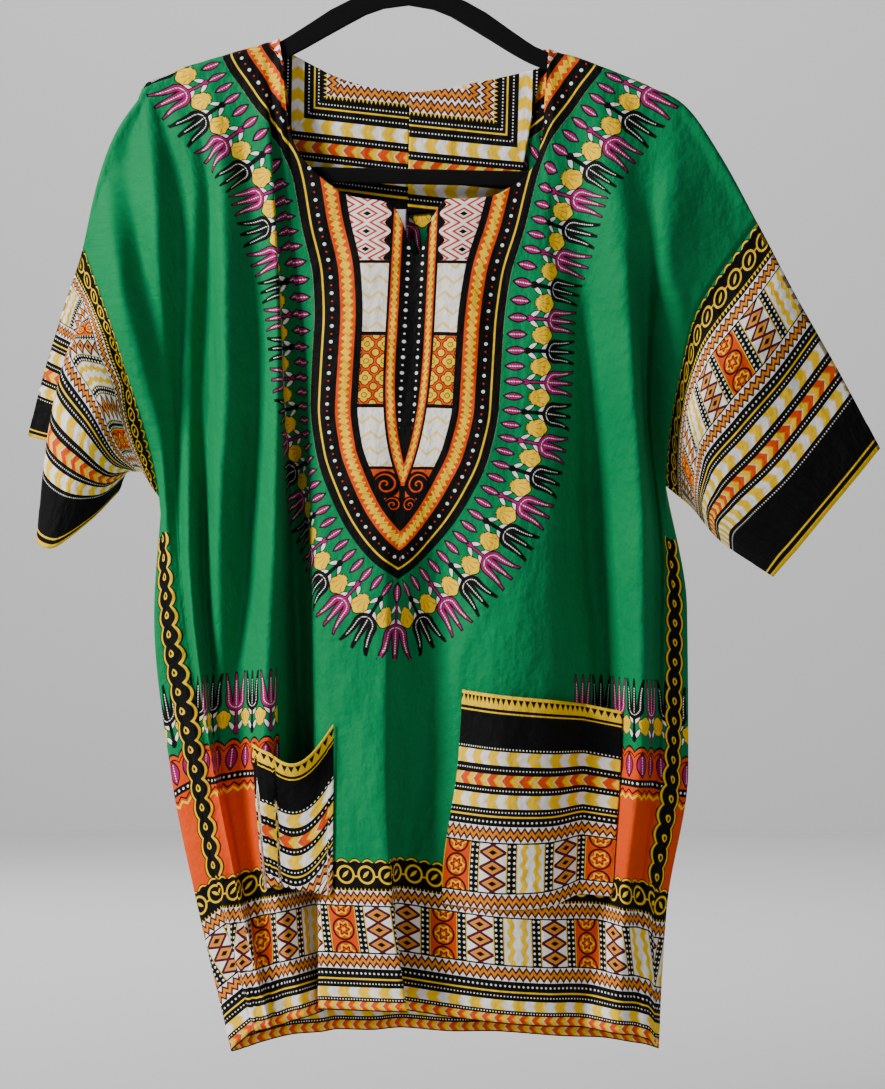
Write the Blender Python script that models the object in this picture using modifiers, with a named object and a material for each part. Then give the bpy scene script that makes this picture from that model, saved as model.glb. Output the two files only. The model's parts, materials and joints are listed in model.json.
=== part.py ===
"""A dashiki shirt on a slim padded hanger: front, back, two sleeves, back neck facing,
two patch pockets and a bare neck tag, hung as flat as the hanger holds them.

Frame: metres, +Z up, the front faces -Y, +X is the viewer's right. The origin is the inside
top of the hanger's hook, where a rail carries it.

The tables are in millimetres: "across" is the distance to the right of the hook, "drop" the
distance below it, and "forward" the distance in front of the hanger's middle plane."""

import math
from typing import NamedTuple

import bpy
import numpy as np

MM = 0.001
COLLECTION = "dashiki_shirt"

# Cloth and seams.
WALL = 1.5
SEAM_GAP = 0.3
HALF_SEAM = (WALL + SEAM_GAP) / 2
ON_PANEL = WALL + SEAM_GAP

# The hanger: a flat padded triangle with a wire hook.
ARM_DEPTH = 5.4
ARM_ROUND = 1.4
WIRE = 3.6
HOOK_INNER = 20.0
HOOK_STEM = 13.9
HOOK_OPEN_TO = 205.0
HANGER_TILT = 1.2

# How far down each panel the fold tables are read, as a share of the panel's length there.
DOWN = (0.0, 0.13, 0.32, 0.5, 0.68, 0.84, 1.0)
UNDERARM = DOWN[2]
REST = None
TOP_ROWS = (0.0, 0.002, 0.0055, 0.014, 0.032, 0.07, 0.13)
NEAR_UNDERARM = (0.285, 0.308)
FRONT_STEPS = (0, 3, 3, 3, 3, 4)
BACK_STEPS = (0, 3, 2, 2, 2, 3)


# The hanger's outline on one side, from its neck to the middle of its bar: across and drop.
OUTER_HALF = (
    (7, 56), (8, 66), (22, 72), (52, 82), (90, 108), (104, 116.5), (130, 124.5), (158, 133), (188, 145),
    (196, 149), (203, 157), (202, 172), (194, 200), (183, 217), (172, 225),
)
INNER_HALF = (
    (0, 84), (26, 88), (56, 105), (88, 124), (104, 131), (150, 145), (180, 157), (188, 166), (188, 180),
    (178, 203), (169, 213),
)
HANGER_MIDDLE = 0.8
OVER_ARM = 2.4
ARM_REACH = 213.0
PAST_ARM = ((205, 151.5), (226, 180))


class Fold(NamedTuple):
    """One line down a panel, along the crest or the bottom of a fold.

    Its top is a drop, or REST where the cloth lies over the hanger's arm."""

    name: str
    top: float
    hem: float
    across: tuple
    forward: tuple


FRONT = (
    Fold("left seam", 274, 893, (-258, -229, -198, -190, -168, -148, -123), (1, 13, 3, 7, 11, 11, 9)),
    Fold("fall ridge", 221, 893, (-246, -226, -196, -187, -166, -146, -120), (1, 24, 10, 11, 14, 15, 13)),
    Fold("fall groove", 184, 892, (-232, -213, -193, -184, -164, -144, -118), (1, 10, 5, 9, 13, 15, 13)),
    Fold("arm ridge", 155, 892, (-212, -199, -189, -182, -162, -141, -115), (1, 26, 0, 7, 12, 15, 13)),
    Fold("arm groove", REST, 891, (-203, -183, -184, -179, -160, -138, -112), (1, 9, -7, 9, 15, 17, 14)),
    Fold("side ridge", REST, 890, (-192, -169, -175, -173, -159, -137, -110), (1, 16, -4, 24, 30, 28, 18)),
    Fold("side groove", REST, 889, (-178, -158, -161, -162, -155, -134, -106), (1, 11, -10, 4, 10, 14, 11)),
    Fold("chest ridge", REST, 888, (-162, -147, -145, -149, -148, -132, -101), (1, 25, 34, 30, 12, 14, 13)),
    Fold("chest groove", REST, 885, (-144, -128, -122, -128, -134, -122, -93), (1, 15, 12, 6, 10, 15, 12)),
    Fold("left fold", REST, 881, (-122, -109, -103, -105, -110, -106, -82), (1, 23, 32, 38, 38, 32, 21)),
    Fold("left recess", REST, 878, (-111, -108, -99, -94, -90, -81, -69), (1, 13, 4, -14, -16, -8, 4)),
    Fold("neck corner", 119, 877, (-102, -99, -85, -81, -79, -75, -69), (5.5, 14, 10, 2, -2, 6, 12)),
    Fold("panel left", 192, 874, (-92, -84, -74, -73, -70, -69, -70), (11, 17, 20, 24, 28, 30, 26)),
    Fold("yoke left", 232, 874, (-55, -54, -49, -46, -46, -47, -47), (15, 22, 28, 37, 39, 39, 33)),
    Fold("centre ridge", 244, 874, (-13, -16, -19, -21, -21, -16, -4), (17, 24, 30, 43, 48, 50, 47)),
    Fold("centre", 283, 874, (5, 1, -6, -11, -14, -16, -11), (18, 24, 30, 38, 38, 34, 30)),
    Fold("centre groove", 242, 875, (24, 21, 16, 19, 10, -6, -12), (17, 24, 28, 20, 13, 11, 11)),
    Fold("yoke right", 238, 880, (47, 46, 43, 44, 39, 26, 26), (16, 24, 30, 30, 27, 20, 18)),
    Fold("right ridge", 232, 885, (73, 71, 69, 71, 71, 68, 70), (14, 22, 30, 38, 38, 34, 25)),
    Fold("panel right", 204, 888, (101, 103, 107, 109, 110, 107, 106), (11, 22, 27, 32, 30, 27, 21)),
    Fold("neck corner right", 130, 889, (109, 114, 126, 130, 137, 134, 126), (5.5, 15, 14, 8, 7, 11, 13)),
    Fold("right recess", REST, 891, (121, 133, 142, 146, 156, 153, 140), (1, 14, 3, -10, -7, 0, 7)),
    Fold("right fold", REST, 894, (150, 163, 174, 180, 180, 169, 162), (1, 25, 37, 34, 29, 27, 20)),
    Fold("arm groove right", REST, 896, (188, 187, 185, 195, 194, 180, 176), (1, 14, -8, 3, 9, 13, 13)),
    Fold("arm ridge right", 164, 898, (218, 203, 191, 201, 200, 186, 183), (1, 22, -6, 6, 12, 14, 13)),
    Fold("fall groove right", 204, 900, (246, 214, 196, 205, 204, 189, 188), (1, 17, -2, 8, 11, 12, 11)),
    Fold("right seam", 255, 906, (274, 221, 202, 209, 207, 192, 193), (1, 11, 3, 7, 9, 9, 8)),
)

BACK = (
    Fold("left seam", 274, 893, (-258, -229, -198, -190, -168, -148, -123), (-1, -11, 1, 5, 9, 9, 7)),
    Fold("left wrap", 222, 910, (-246, -224, -195, -202, -189, -167, -141), (-1, -20, -9, -3, -3, -4, -4)),
    Fold("left back", 172, 910, (-225, -207, -188, -183, -170, -154, -130), (-1, -24, -36, -34, -34, -31, -26)),
    Fold("first groove", REST, 905, (-190, -178, -156, -152, -147, -134, -117), (-1, -14, -28, -28, -26, -24, -20)),
    Fold("first ridge", REST, 901, (-154, -142, -126, -122, -117, -111, -95), (-1, -26, -44, -48, -46, -42, -34)),
    Fold("second groove", REST, 898, (-119, -107, -97, -89, -84, -79, -71), (-1, -16, -28, -34, -36, -32, -26)),
    Fold("neck corner", 118, 897, (-101, -90, -80, -70, -66, -62, -58), (-7, -17, -34, -44, -48, -44, -36)),
    Fold("neck left", 142, 896, (-51, -44, -38, -33, -32, -30, -30), (-9, -16, -30, -32, -30, -28, -24)),
    Fold("neck middle", 151, 896, (0, -2, -4, -6, -8, -8, -6), (-11, -17, -32, -46, -50, -48, -40)),
    Fold("neck right", 144, 897, (51, 43, 36, 32, 28, 28, 32), (-9, -16, -28, -30, -28, -26, -22)),
    Fold("neck corner right", 132, 899, (104, 87, 75, 71, 71, 70, 71), (-7, -15, -32, -46, -50, -46, -38)),
    Fold("third groove", REST, 901, (121, 126, 128, 130, 128, 122, 120), (-1, -15, -28, -32, -32, -28, -24)),
    Fold("third ridge", REST, 903, (158, 162, 164, 166, 166, 160, 152), (-1, -26, -44, -48, -46, -42, -32)),
    Fold("fourth groove", REST, 905, (196, 194, 188, 191, 191, 183, 174), (-1, -14, -31, -29, -27, -24, -20)),
    Fold("right back", 178, 907, (229, 211, 197, 209, 210, 197, 187), (-1, -23, -34, -30, -28, -25, -20)),
    Fold("right wrap", 214, 908, (251, 221, 200, 219, 220, 203, 196), (-1, -19, -9, -3, -3, -4, -4)),
    Fold("right seam", 255, 906, (274, 221, 202, 209, 207, 192, 193), (-1, -9, 1, 5, 7, 7, 6)),
)


class Ring(NamedTuple):
    """One section of a sleeve: its front from the top fold to the underarm, then its back."""

    share: float
    front: tuple
    back: tuple


LEFT_SLEEVE = (
    Ring(0.35, ((-274, 322, -8), (-261, 336, -2), (-262, 352, 20), (-242, 390, 24), (-226, 432, 12), (-213, 452, 3)),
         ((-226, 412, -18), (-256, 356, -22))),
    Ring(0.7, ((-292, 378, -18), (-269, 393, -8), (-285, 428, 18), (-264, 452, 30), (-240, 462, 18), (-222, 452, 4)),
         ((-244, 420, -26), (-278, 384, -32))),
    Ring(1.0, ((-304, 423, -26), (-270, 437, -12), (-293, 505, 16), (-281, 513, 30), (-252, 492, 20), (-230, 468, 4)),
         ((-254, 446, -28), (-286, 426, -36))),
)
RIGHT_SLEEVE = (
    Ring(0.35, ((304, 312, 1), (276, 350, 22), (243, 388, 32), (222, 425, 28), (220, 458, 16), (222, 480, 2)),
         ((238, 420, -16), (276, 356, -20))),
    Ring(0.7, ((339, 374, 1), (311, 410, 16), (281, 446, 26), (251, 476, 24), (240, 492, 14), (243, 505, 2)),
         ((268, 462, -18), (310, 408, -20))),
    Ring(1.0, ((371, 434, 1), (350, 459, 12), (328, 485, 16), (307, 511, 13), (296, 524, 8), (287, 535, 2)),
         ((314, 498, -14), (346, 458, -14))),
)
SLEEVE_LENGTH = 217.0
SLEEVE_LEAD = 5.0
SLEEVE_CLEAR = 0.9
SLEEVE_CLEAR_AT_KINK = 1.0
SLEEVE_STEPS = 8


class Patch(NamedTuple):
    """A pocket as a stretch of the front, between two fold numbers and two shares of its length."""

    left: float
    right: float
    top_left: float
    top_right: float
    foot: float
    gape: float
    sag: float
    span_from: float
    span_to: float


LEFT_POCKET = Patch(8.5, 12.5, 0.715, 0.66, 0.864, 12.0, 22.0, 9.0, 12.5)
RIGHT_POCKET = Patch(17.0, 21.5, 0.6, 0.672, 0.862, 7.0, 0.0, 20.0, 21.5)
POCKET_ON_PANEL = 2.0
POCKET_ROWS = 12

# The back neck facing: two pieces that meet a little right of the back's middle fold.
FACING_LEFT, FACING_MIDDLE, FACING_RIGHT = 6.0, 8.0, 10.0
TAG_WIDTH, TAG_LENGTH, TAG_THICK = 10.0, 17.0, 1.0
TAG_ACROSS = -8.0

class Finish(NamedTuple):
    """A Principled material's colour, roughness and metallic value."""

    colour: tuple
    roughness: float
    metallic: float = 0.0


GREEN_COTTON = Finish((0.01, 0.21, 0.075, 1), 0.7)
BLACK_PRINT = Finish((0.02, 0.016, 0.015, 1), 0.7)
STRIPE_PRINT = Finish((0.55, 0.3, 0.05, 1), 0.7)
FLOCK = Finish((0.008, 0.008, 0.009, 1), 0.95)
STEEL = Finish((0.6, 0.6, 0.6, 1), 0.25, 1.0)
TAG_WHITE = Finish((0.8, 0.8, 0.78, 1), 0.7)


def clear_scene():
    for item in list(bpy.data.objects):
        bpy.data.objects.remove(item, do_unlink=True)


def make_material(name, finish):
    material = bpy.data.materials.new(name)
    material.use_nodes = True
    shader = material.node_tree.nodes["Principled BSDF"]
    shader.inputs["Base Color"].default_value = finish.colour
    shader.inputs["Roughness"].default_value = finish.roughness
    shader.inputs["Metallic"].default_value = finish.metallic
    material.diffuse_color = finish.colour
    return material


def place(across, drop, forward):
    """Table values in millimetres as a point in the part's frame."""
    return np.stack(np.broadcast_arrays(across, -np.asarray(forward), -np.asarray(drop)), axis=-1) * MM


def slopes(knots, values):
    """Slopes of a smooth curve through the knots that never runs past a neighbour's value."""
    step = np.diff(knots)
    rise = np.diff(values, axis=0) / step[:, None]
    inner = np.where(rise[:-1] * rise[1:] > 0, 2 * rise[:-1] * rise[1:] / (rise[:-1] + rise[1:] + 1e-12), 0)
    return np.concatenate([rise[:1], inner, rise[-1:]])


def smooth_curve(knots, values, wanted):
    """Read a smooth curve through (knots, values) at the wanted places."""
    knots = np.asarray(knots, float)
    values = np.asarray(values, float).reshape(len(knots), -1)
    tangent = slopes(knots, values)
    wanted = np.clip(np.asarray(wanted, float), knots[0], knots[-1])
    span = np.clip(np.searchsorted(knots, wanted, side="right") - 1, 0, len(knots) - 2)
    width = (knots[span + 1] - knots[span])[:, None]
    t = (wanted[:, None] - knots[span][:, None]) / width
    near = (2 * t**3 - 3 * t**2 + 1) * values[span] + (t**3 - 2 * t**2 + t) * width * tangent[span]
    far = (3 * t**2 - 2 * t**3) * values[span + 1] + (t**3 - t**2) * width * tangent[span + 1]
    return near + far


def flowing_curve(values, wanted):
    """Read a rounder curve, through evenly numbered points, at fractional numbers."""
    values = np.asarray(values, float).reshape(len(values), -1)
    padded = np.concatenate([2 * values[:1] - values[1:2], values, 2 * values[-1:] - values[-2:-1]])
    wanted = np.clip(np.asarray(wanted, float), 0, len(values) - 1)
    span = np.clip(wanted.astype(int), 0, len(values) - 2)
    t = (wanted - span)[:, None]
    before, here, after, beyond = (padded[span + k] for k in range(4))
    bend = (2 * before - 5 * here + 4 * after - beyond) * t**2
    return here + 0.5 * ((after - before) * t + bend + (3 * here - before - 3 * after + beyond) * t**3)


def arm_top(across):
    """The drop of the hanger's upper edge at a distance across, with the hanger's tilt."""
    outer = [(x, drop) for x, drop in OUTER_HALF if drop < 155] + list(PAST_ARM)
    places = [-x for x, _ in reversed(outer)] + [x for x, _ in outer]
    drops = [drop for _, drop in reversed(outer)] + [drop for _, drop in outer]
    lean = math.sin(math.radians(HANGER_TILT))
    local = np.asarray(across) - HANGER_MIDDLE
    local = local + lean * np.interp(local, places, drops)
    return np.interp(local, places, drops) + lean * local


def rows_down(steps):
    """Shares of the panel's length for the mesh rows, closer together at the top edge."""
    rows = list(TOP_ROWS)
    for start, end, count in zip(DOWN, DOWN[1:], steps):
        rows.extend(start + (end - start) * k / count for k in range(1, count + 1))
    rows.extend(NEAR_UNDERARM)
    return np.array(sorted(set(rows)))


def clear_of_hanger(forward, drop, below_top, on_shoulder):
    """Keep a panel just clear of the hanger's arm, with a small round over its top edge."""
    over = np.clip(below_top / 4.0, 0, 1)
    least = HALF_SEAM + (ARM_DEPTH / 2 + 1.5 - HALF_SEAM) * np.sqrt(1 - (1 - over) ** 2)
    fade = np.clip((drop - 238) / 40, 0, 1)
    least = least - 40 * fade**2
    return np.where(on_shoulder, np.maximum(forward, least), forward)


class Panel:
    """A front or back panel: a smooth sheet through its fold lines."""

    def __init__(self, folds, side):
        self.folds = folds
        self.side = side
        self.neck = [k for k, fold in enumerate(folds) if fold.name.startswith("neck corner")]

    def fold_line(self, fold, rows):
        values = np.column_stack([fold.across, fold.forward])
        across, forward = smooth_curve(DOWN, values, rows).T
        top = float(arm_top(fold.across[0])) - OVER_ARM if fold.top is REST else fold.top
        drop = top + (fold.hem - top) * rows
        return np.column_stack([across, drop, forward])

    def tops(self, columns):
        """Across and drop of the panel's top edge at fractional fold numbers."""
        ends = np.stack([self.fold_line(fold, np.zeros(1))[0] for fold in self.folds])
        return flowing_curve(ends, columns)[:, :2]

    def points(self, columns, rows):
        """Points at fractional fold numbers (columns) and shares of the length (rows)."""
        rows = np.asarray(rows, float)
        lines = np.stack([self.fold_line(fold, rows) for fold in self.folds])
        flat = lines.reshape(len(self.folds), -1)
        grid = flowing_curve(flat, columns).reshape(len(columns), len(rows), 3).transpose(1, 0, 2)
        shoulder = (np.asarray(columns) < self.neck[0]) | (np.asarray(columns) > self.neck[1])
        tops = self.tops(columns)
        over_arm = shoulder & (np.abs(tops[:, 0]) < ARM_REACH)
        lift = np.where(over_arm, tops[:, 1] - np.minimum(tops[:, 1], arm_top(tops[:, 0]) - OVER_ARM), 0)
        grid[..., 1] -= lift * (1 - rows[:, None])
        below_top = grid[..., 1] - (tops[:, 1] - lift)
        forward = self.side * grid[..., 2]
        clear = clear_of_hanger(forward, grid[..., 1], below_top, shoulder[None, :])
        return np.stack([grid[..., 0], grid[..., 1], self.side * clear], axis=-1)


def outward(points, side):
    """Unit normals of a grid of points, on the given side of the garment."""
    down = np.gradient(points, axis=0)
    along = np.gradient(points, axis=1)
    normal = np.cross(along, down)
    normal /= np.linalg.norm(normal, axis=-1, keepdims=True) + 1e-12
    return normal * np.where(np.median(normal[..., 2]) * side < 0, -1.0, 1.0)


def grid_mesh(name, points, closed=False):
    """A mesh of four-sided faces over a grid of points, its rows joined end to end if closed."""
    rows, columns = points.shape[:2]
    last = columns if closed else columns - 1
    faces = []
    for r in range(rows - 1):
        for c in range(last):
            beside = (c + 1) % columns
            faces.append((r * columns + c, (r + 1) * columns + c, (r + 1) * columns + beside, r * columns + beside))
    mesh = bpy.data.meshes.new(name)
    mesh.from_pydata([tuple(p) for p in points.reshape(-1, 3)], [], faces)
    mesh.update()
    return mesh


def add_object(name, data, material, collection):
    item = bpy.data.objects.new(name, data)
    collection.objects.link(item)
    item.data.materials.append(material)
    return item


def add_cloth(name, points, material, collection, closed=False, wall=WALL):
    """A sheet of cloth: an open surface with a wall on it."""
    table = place(points[..., 0], points[..., 1], points[..., 2])
    item = add_object(name, grid_mesh(name, table, closed), material, collection)
    solid = item.modifiers.new("wall", "SOLIDIFY")
    solid.thickness = wall * MM
    solid.offset = 0.0
    item.data.shade_smooth()
    return item


def add_panels(front, back, collection):
    cotton = make_material("printed_cotton", GREEN_COTTON)
    front_columns = np.arange(0, len(FRONT) - 0.99, 0.5)
    back_columns = np.arange(0, len(BACK) - 0.99, 0.5)
    add_cloth("front", front.points(front_columns, rows_down(FRONT_STEPS)), cotton, collection)
    add_cloth("back", back.points(back_columns, rows_down(BACK_STEPS)), cotton, collection)


def seam_side(panel, column):
    """The armhole edge of a panel's mesh from the shoulder to the underarm, by share of its
    length, and the direction in which its cloth runs on there."""
    rows = rows_down(FRONT_STEPS)
    rows = rows[rows <= UNDERARM + 1e-6]
    inside = column + 0.5 if column == 0 else column - 0.5
    edge, inner = (panel.points([c], rows)[:, 0] for c in (column, inside))
    run = np.concatenate([[0], np.cumsum(np.linalg.norm(np.diff(edge, axis=0), axis=1))])
    return edge, run / run[-1], unit(edge - inner)


def unit(vectors):
    return vectors / (np.linalg.norm(vectors, axis=-1, keepdims=True) + 1e-12)


def half_ring(ring, shares, side):
    """The front or back half of a sleeve's section, from the top fold to the underarm."""
    if side > 0:
        knots, path = np.linspace(0, 1, len(ring.front)), ring.front
    else:
        knots, path = (0, 0.34, 0.68, 1), (ring.front[0], ring.back[1], ring.back[0], ring.front[-1])
    row = smooth_curve(knots, path, shares)
    row[:, 2] += side * (HALF_SEAM + 0.3)
    return row


def sleeve_points(front, back, column_front, column_back, rings):
    """Rings of points from the armhole to the cuff."""
    halves = []
    for panel, column, side in ((front, column_front, 1), (back, column_back, -1)):
        edge, run, leave = seam_side(panel, column)
        rows = [half_ring(ring, run, side) for ring in rings]
        blend = np.clip((run - 0.55) / 0.3, 0, 1)[:, None]
        leave[:, 2] *= np.clip(run / 0.15, 0, 1)
        lead = unit((1 - blend) * unit(leave) + blend * unit(rows[0] - edge))
        kink = np.maximum(blend, 1 - np.clip(run / 0.05, 0, 1)[:, None])
        start = edge + (SLEEVE_CLEAR + SLEEVE_CLEAR_AT_KINK * kink) * lead
        halves.append(np.stack([start, edge + SLEEVE_LEAD * lead] + rows))
    loop = np.concatenate([halves[0], halves[1][:, ::-1]], axis=1)
    knots = [SLEEVE_CLEAR / SLEEVE_LENGTH, SLEEVE_LEAD / SLEEVE_LENGTH] + [ring.share for ring in rings]
    wanted = np.concatenate([knots[:2], np.linspace(knots[1], 1, SLEEVE_STEPS)[1:]])
    flat = smooth_curve(knots, loop.reshape(len(knots), -1), wanted)
    return flat.reshape(len(wanted), loop.shape[1], 3)


def add_sleeves(front, back, collection):
    cotton = make_material("border_print", STRIPE_PRINT)
    left = sleeve_points(front, back, 0, 0, LEFT_SLEEVE)
    right = sleeve_points(front, back, len(FRONT) - 1, len(BACK) - 1, RIGHT_SLEEVE)
    add_cloth("sleeve_left", left, cotton, collection, closed=True)
    add_cloth("sleeve_right", right, cotton, collection, closed=True)


def crest_before(front, points):
    """How far forward the front reaches around each point, so that a pocket can pass before it."""
    shares = np.linspace(DOWN[3], 1, 60)
    near = front.points(np.arange(8.0, 13.6, 0.25), shares).reshape(-1, 3)
    apart = np.abs(points[:, :, None, 0] - near[:, 0]) / 5 + np.abs(points[:, :, None, 1] - near[:, 1]) / 9
    return np.where(apart < 1, near[:, 2], -99.0).max(axis=-1)


def pocket_points(front, patch):
    """A patch of the front's own points, moved out; it spans the deep fold it is sewn across,
    and its mouth stands a little open."""
    columns = np.arange(patch.left, patch.right + 0.01, 0.5)
    across = (columns - patch.left) / (patch.right - patch.left)
    down = np.linspace(0, 1, POCKET_ROWS)
    top = patch.top_left + (patch.top_right - patch.top_left) * across
    points = np.empty((POCKET_ROWS, len(columns), 3))
    for k, column in enumerate(columns):
        rows = top[k] + (patch.foot - top[k]) * down
        near = front.points([column - 0.5, column, column + 0.5], rows)
        turn = (unit(near[:, 1] - near[:, 0]) * unit(near[:, 2] - near[:, 1])).sum(axis=-1)
        mitre = 1 / np.sqrt(np.clip((1 + turn) / 2, 0.16, 1))
        points[:, k] = near[:, 1] + outward(near, 1)[:, 1] * POCKET_ON_PANEL * mitre[:, None]
    span = np.flatnonzero((columns >= patch.span_from) & (columns <= patch.span_to))
    share = np.linspace(0, 1, len(span))[None, :, None]
    points[:, span] = points[:, span[:1]] * (1 - share) + points[:, span[-1:]] * share
    if len(span) > 4:
        ahead = columns >= patch.span_from - 0.5
        points[:, ahead, 2] = np.maximum(points[:, ahead, 2], crest_before(front, points[:, ahead]) + 2.6)
    belly = np.sin(math.pi * across)[None, :] * np.clip(1 - down[:, None] / 0.62, 0, 1) ** 1.5
    points[..., 2] += patch.gape * belly
    points[..., 1] += patch.sag * belly
    return points


def add_pockets(front, collection):
    print_cotton = make_material("pocket_print", BLACK_PRINT)
    for name, patch in (("pocket_left", LEFT_POCKET), ("pocket_right", RIGHT_POCKET)):
        add_cloth(name, pocket_points(front, patch), print_cotton, collection)


def facing_points(back, first, last, shift):
    """The back's own points below its neck edge, moved forward, clear of the other half."""
    columns = np.arange(first, last + 0.01, 0.5)
    rows = rows_down(BACK_STEPS)
    rows = rows[rows <= DOWN[1] + 1e-6]
    grid = back.points(columns, rows)
    grid += outward(grid, 1) * ON_PANEL
    meeting = -1 if last == FACING_MIDDLE else 0
    grid[:, meeting, 0] += shift
    return grid


def add_facing(back, collection):
    cotton = make_material("facing_print", BLACK_PRINT)
    left = facing_points(back, FACING_LEFT, FACING_MIDDLE, -SEAM_GAP / 2)
    right = facing_points(back, FACING_MIDDLE, FACING_RIGHT, SEAM_GAP / 2)
    add_cloth("neck_facing_left", left, cotton, collection)
    add_cloth("neck_facing_right", right, cotton, collection)


def add_tag(back, collection):
    """A bare white tag that hangs from the facing's lower edge."""
    rows = np.array([DOWN[1] - 0.004, DOWN[1] + TAG_LENGTH / 745])
    grid = back.points(np.linspace(7.5, 8.0, 3), rows)
    drop, forward = grid[0, 1, 1], grid[0, 1, 2] + 2 * ON_PANEL + 0.2
    across = TAG_ACROSS + np.array([-0.5, 0.5]) * TAG_WIDTH
    sheet = np.empty((4, 2, 3))
    sheet[..., 0] = across[None, :]
    sheet[..., 1] = drop + np.linspace(0, TAG_LENGTH, 4)[:, None]
    sheet[..., 2] = forward
    tag = make_material("tag_cloth", TAG_WHITE)
    add_cloth("neck_tag", sheet, tag, collection, wall=TAG_THICK)


def closed_spline(curve, half):
    """A closed outline from its right half, mirrored, about the hanger's own middle."""
    left = [(-x, drop) for x, drop in reversed(half) if x > 0]
    outline = list(half) + left
    spline = curve.splines.new("POLY")
    spline.points.add(len(outline) - 1)
    for point, (across, drop) in zip(spline.points, outline):
        point.co = (across * MM, -drop * MM, 0, 1)
    spline.use_cyclic_u = True


def round_off(half, steps=2):
    """Cut the corners of an outline's half twice, for a smooth run."""
    points = [tuple(map(float, p)) for p in half]
    for _ in range(steps):
        cut = [points[0]]
        for (ax, ay), (bx, by) in zip(points, points[1:]):
            cut.append((0.75 * ax + 0.25 * bx, 0.75 * ay + 0.25 * by))
            cut.append((0.25 * ax + 0.75 * bx, 0.25 * ay + 0.75 * by))
        cut.append(points[-1])
        points = cut
    return points


def add_hanger(collection):
    """The padded hanger body: a flat outline with its triangle open, and rounded edges."""
    curve = bpy.data.curves.new("hanger_body", "CURVE")
    curve.dimensions = "2D"
    curve.fill_mode = "BOTH"
    curve.extrude = (ARM_DEPTH / 2 - ARM_ROUND) * MM
    curve.bevel_depth = ARM_ROUND * MM
    curve.bevel_resolution = 1
    curve.offset = -ARM_ROUND * MM
    closed_spline(curve, round_off(OUTER_HALF, 1))
    closed_spline(curve, round_off(INNER_HALF, 1))
    body = add_object("hanger_body", curve, make_material("flocked_plastic", FLOCK), collection)
    body.rotation_euler = (math.radians(90), math.radians(HANGER_TILT), 0)
    body.location = (HANGER_MIDDLE * MM, 0, 0)


def hook_route():
    """The wire from the hanger's neck up and round, open on the viewer's left."""
    radius = HOOK_INNER + WIRE / 2
    centre = HOOK_INNER
    foot = centre + radius + HOOK_STEM
    tilt = math.radians(HANGER_TILT)
    turn = range(-90, int(HOOK_OPEN_TO) + 1, 15)
    arc = [(radius * math.cos(math.radians(a)), centre - radius * math.sin(math.radians(a))) for a in turn]
    stem = [(0.0, foot), (0.0, foot - HOOK_STEM / 2)]
    lean = []
    for across, drop in stem + arc:
        share = max(0.0, (drop - 2 * centre) / foot)
        lean.append((across - math.sin(tilt) * foot * share, drop))
    return lean


def add_hook(collection):
    curve = bpy.data.curves.new("hanger_hook", "CURVE")
    curve.dimensions = "3D"
    curve.bevel_depth = WIRE / 2 * MM
    curve.bevel_resolution = 2
    curve.use_fill_caps = True
    route = hook_route()
    spline = curve.splines.new("POLY")
    spline.points.add(len(route) - 1)
    for point, (across, drop) in zip(spline.points, route):
        point.co = (across * MM, 0, -drop * MM, 1)
    add_object("hanger_hook", curve, make_material("hook_steel", STEEL), collection)


def main():
    clear_scene()
    collection = bpy.data.collections.new(COLLECTION)
    bpy.context.scene.collection.children.link(collection)
    front = Panel(FRONT, 1)
    back = Panel(BACK, -1)
    add_panels(front, back, collection)
    add_sleeves(front, back, collection)
    add_pockets(front, collection)
    add_facing(back, collection)
    add_tag(back, collection)
    add_hanger(collection)
    add_hook(collection)


main()
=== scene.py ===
"""Looks of a dashiki shirt on a slim padded hanger: printed cotton shells in the folds of the
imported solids, with their weave, seams and stitching, a flocked hanger and a plain studio.

Lengths in the tables are millimetres: "across" is to the right of the hook, "drop" is below it
and "forward" is in front of the hanger's middle plane."""

import json
import logging
import math
from dataclasses import dataclass, field
from enum import Enum
from typing import Any, NamedTuple, Optional, Sequence, Union

import bmesh
import bpy
import numpy as np
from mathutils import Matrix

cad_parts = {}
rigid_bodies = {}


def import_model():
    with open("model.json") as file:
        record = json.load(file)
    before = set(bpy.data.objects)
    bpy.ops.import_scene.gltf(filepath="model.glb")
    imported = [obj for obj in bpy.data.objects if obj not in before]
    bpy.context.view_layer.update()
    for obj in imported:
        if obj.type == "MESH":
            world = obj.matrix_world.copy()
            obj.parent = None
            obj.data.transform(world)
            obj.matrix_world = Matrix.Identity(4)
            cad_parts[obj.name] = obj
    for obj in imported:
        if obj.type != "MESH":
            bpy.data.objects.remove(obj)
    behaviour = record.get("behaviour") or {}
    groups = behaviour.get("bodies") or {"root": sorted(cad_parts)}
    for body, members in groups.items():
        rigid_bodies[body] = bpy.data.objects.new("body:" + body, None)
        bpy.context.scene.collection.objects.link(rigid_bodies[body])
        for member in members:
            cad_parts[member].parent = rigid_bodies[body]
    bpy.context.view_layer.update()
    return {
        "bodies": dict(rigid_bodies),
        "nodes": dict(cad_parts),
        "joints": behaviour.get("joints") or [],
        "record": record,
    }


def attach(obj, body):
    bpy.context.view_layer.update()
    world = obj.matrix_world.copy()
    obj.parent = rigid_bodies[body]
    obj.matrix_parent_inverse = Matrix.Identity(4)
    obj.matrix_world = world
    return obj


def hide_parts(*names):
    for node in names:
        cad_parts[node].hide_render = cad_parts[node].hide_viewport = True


LOG = logging.getLogger("dashiki")
MM = 0.001
BODY = "root"

# The shells' walls: the facing's, the tag's, and the turned hems' with the thinner share elsewhere.
CLOTH = 0.6
TAPE_WALL = 0.5
HEM_WALL = 1.1
THIN_SHARE = 0.45

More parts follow.
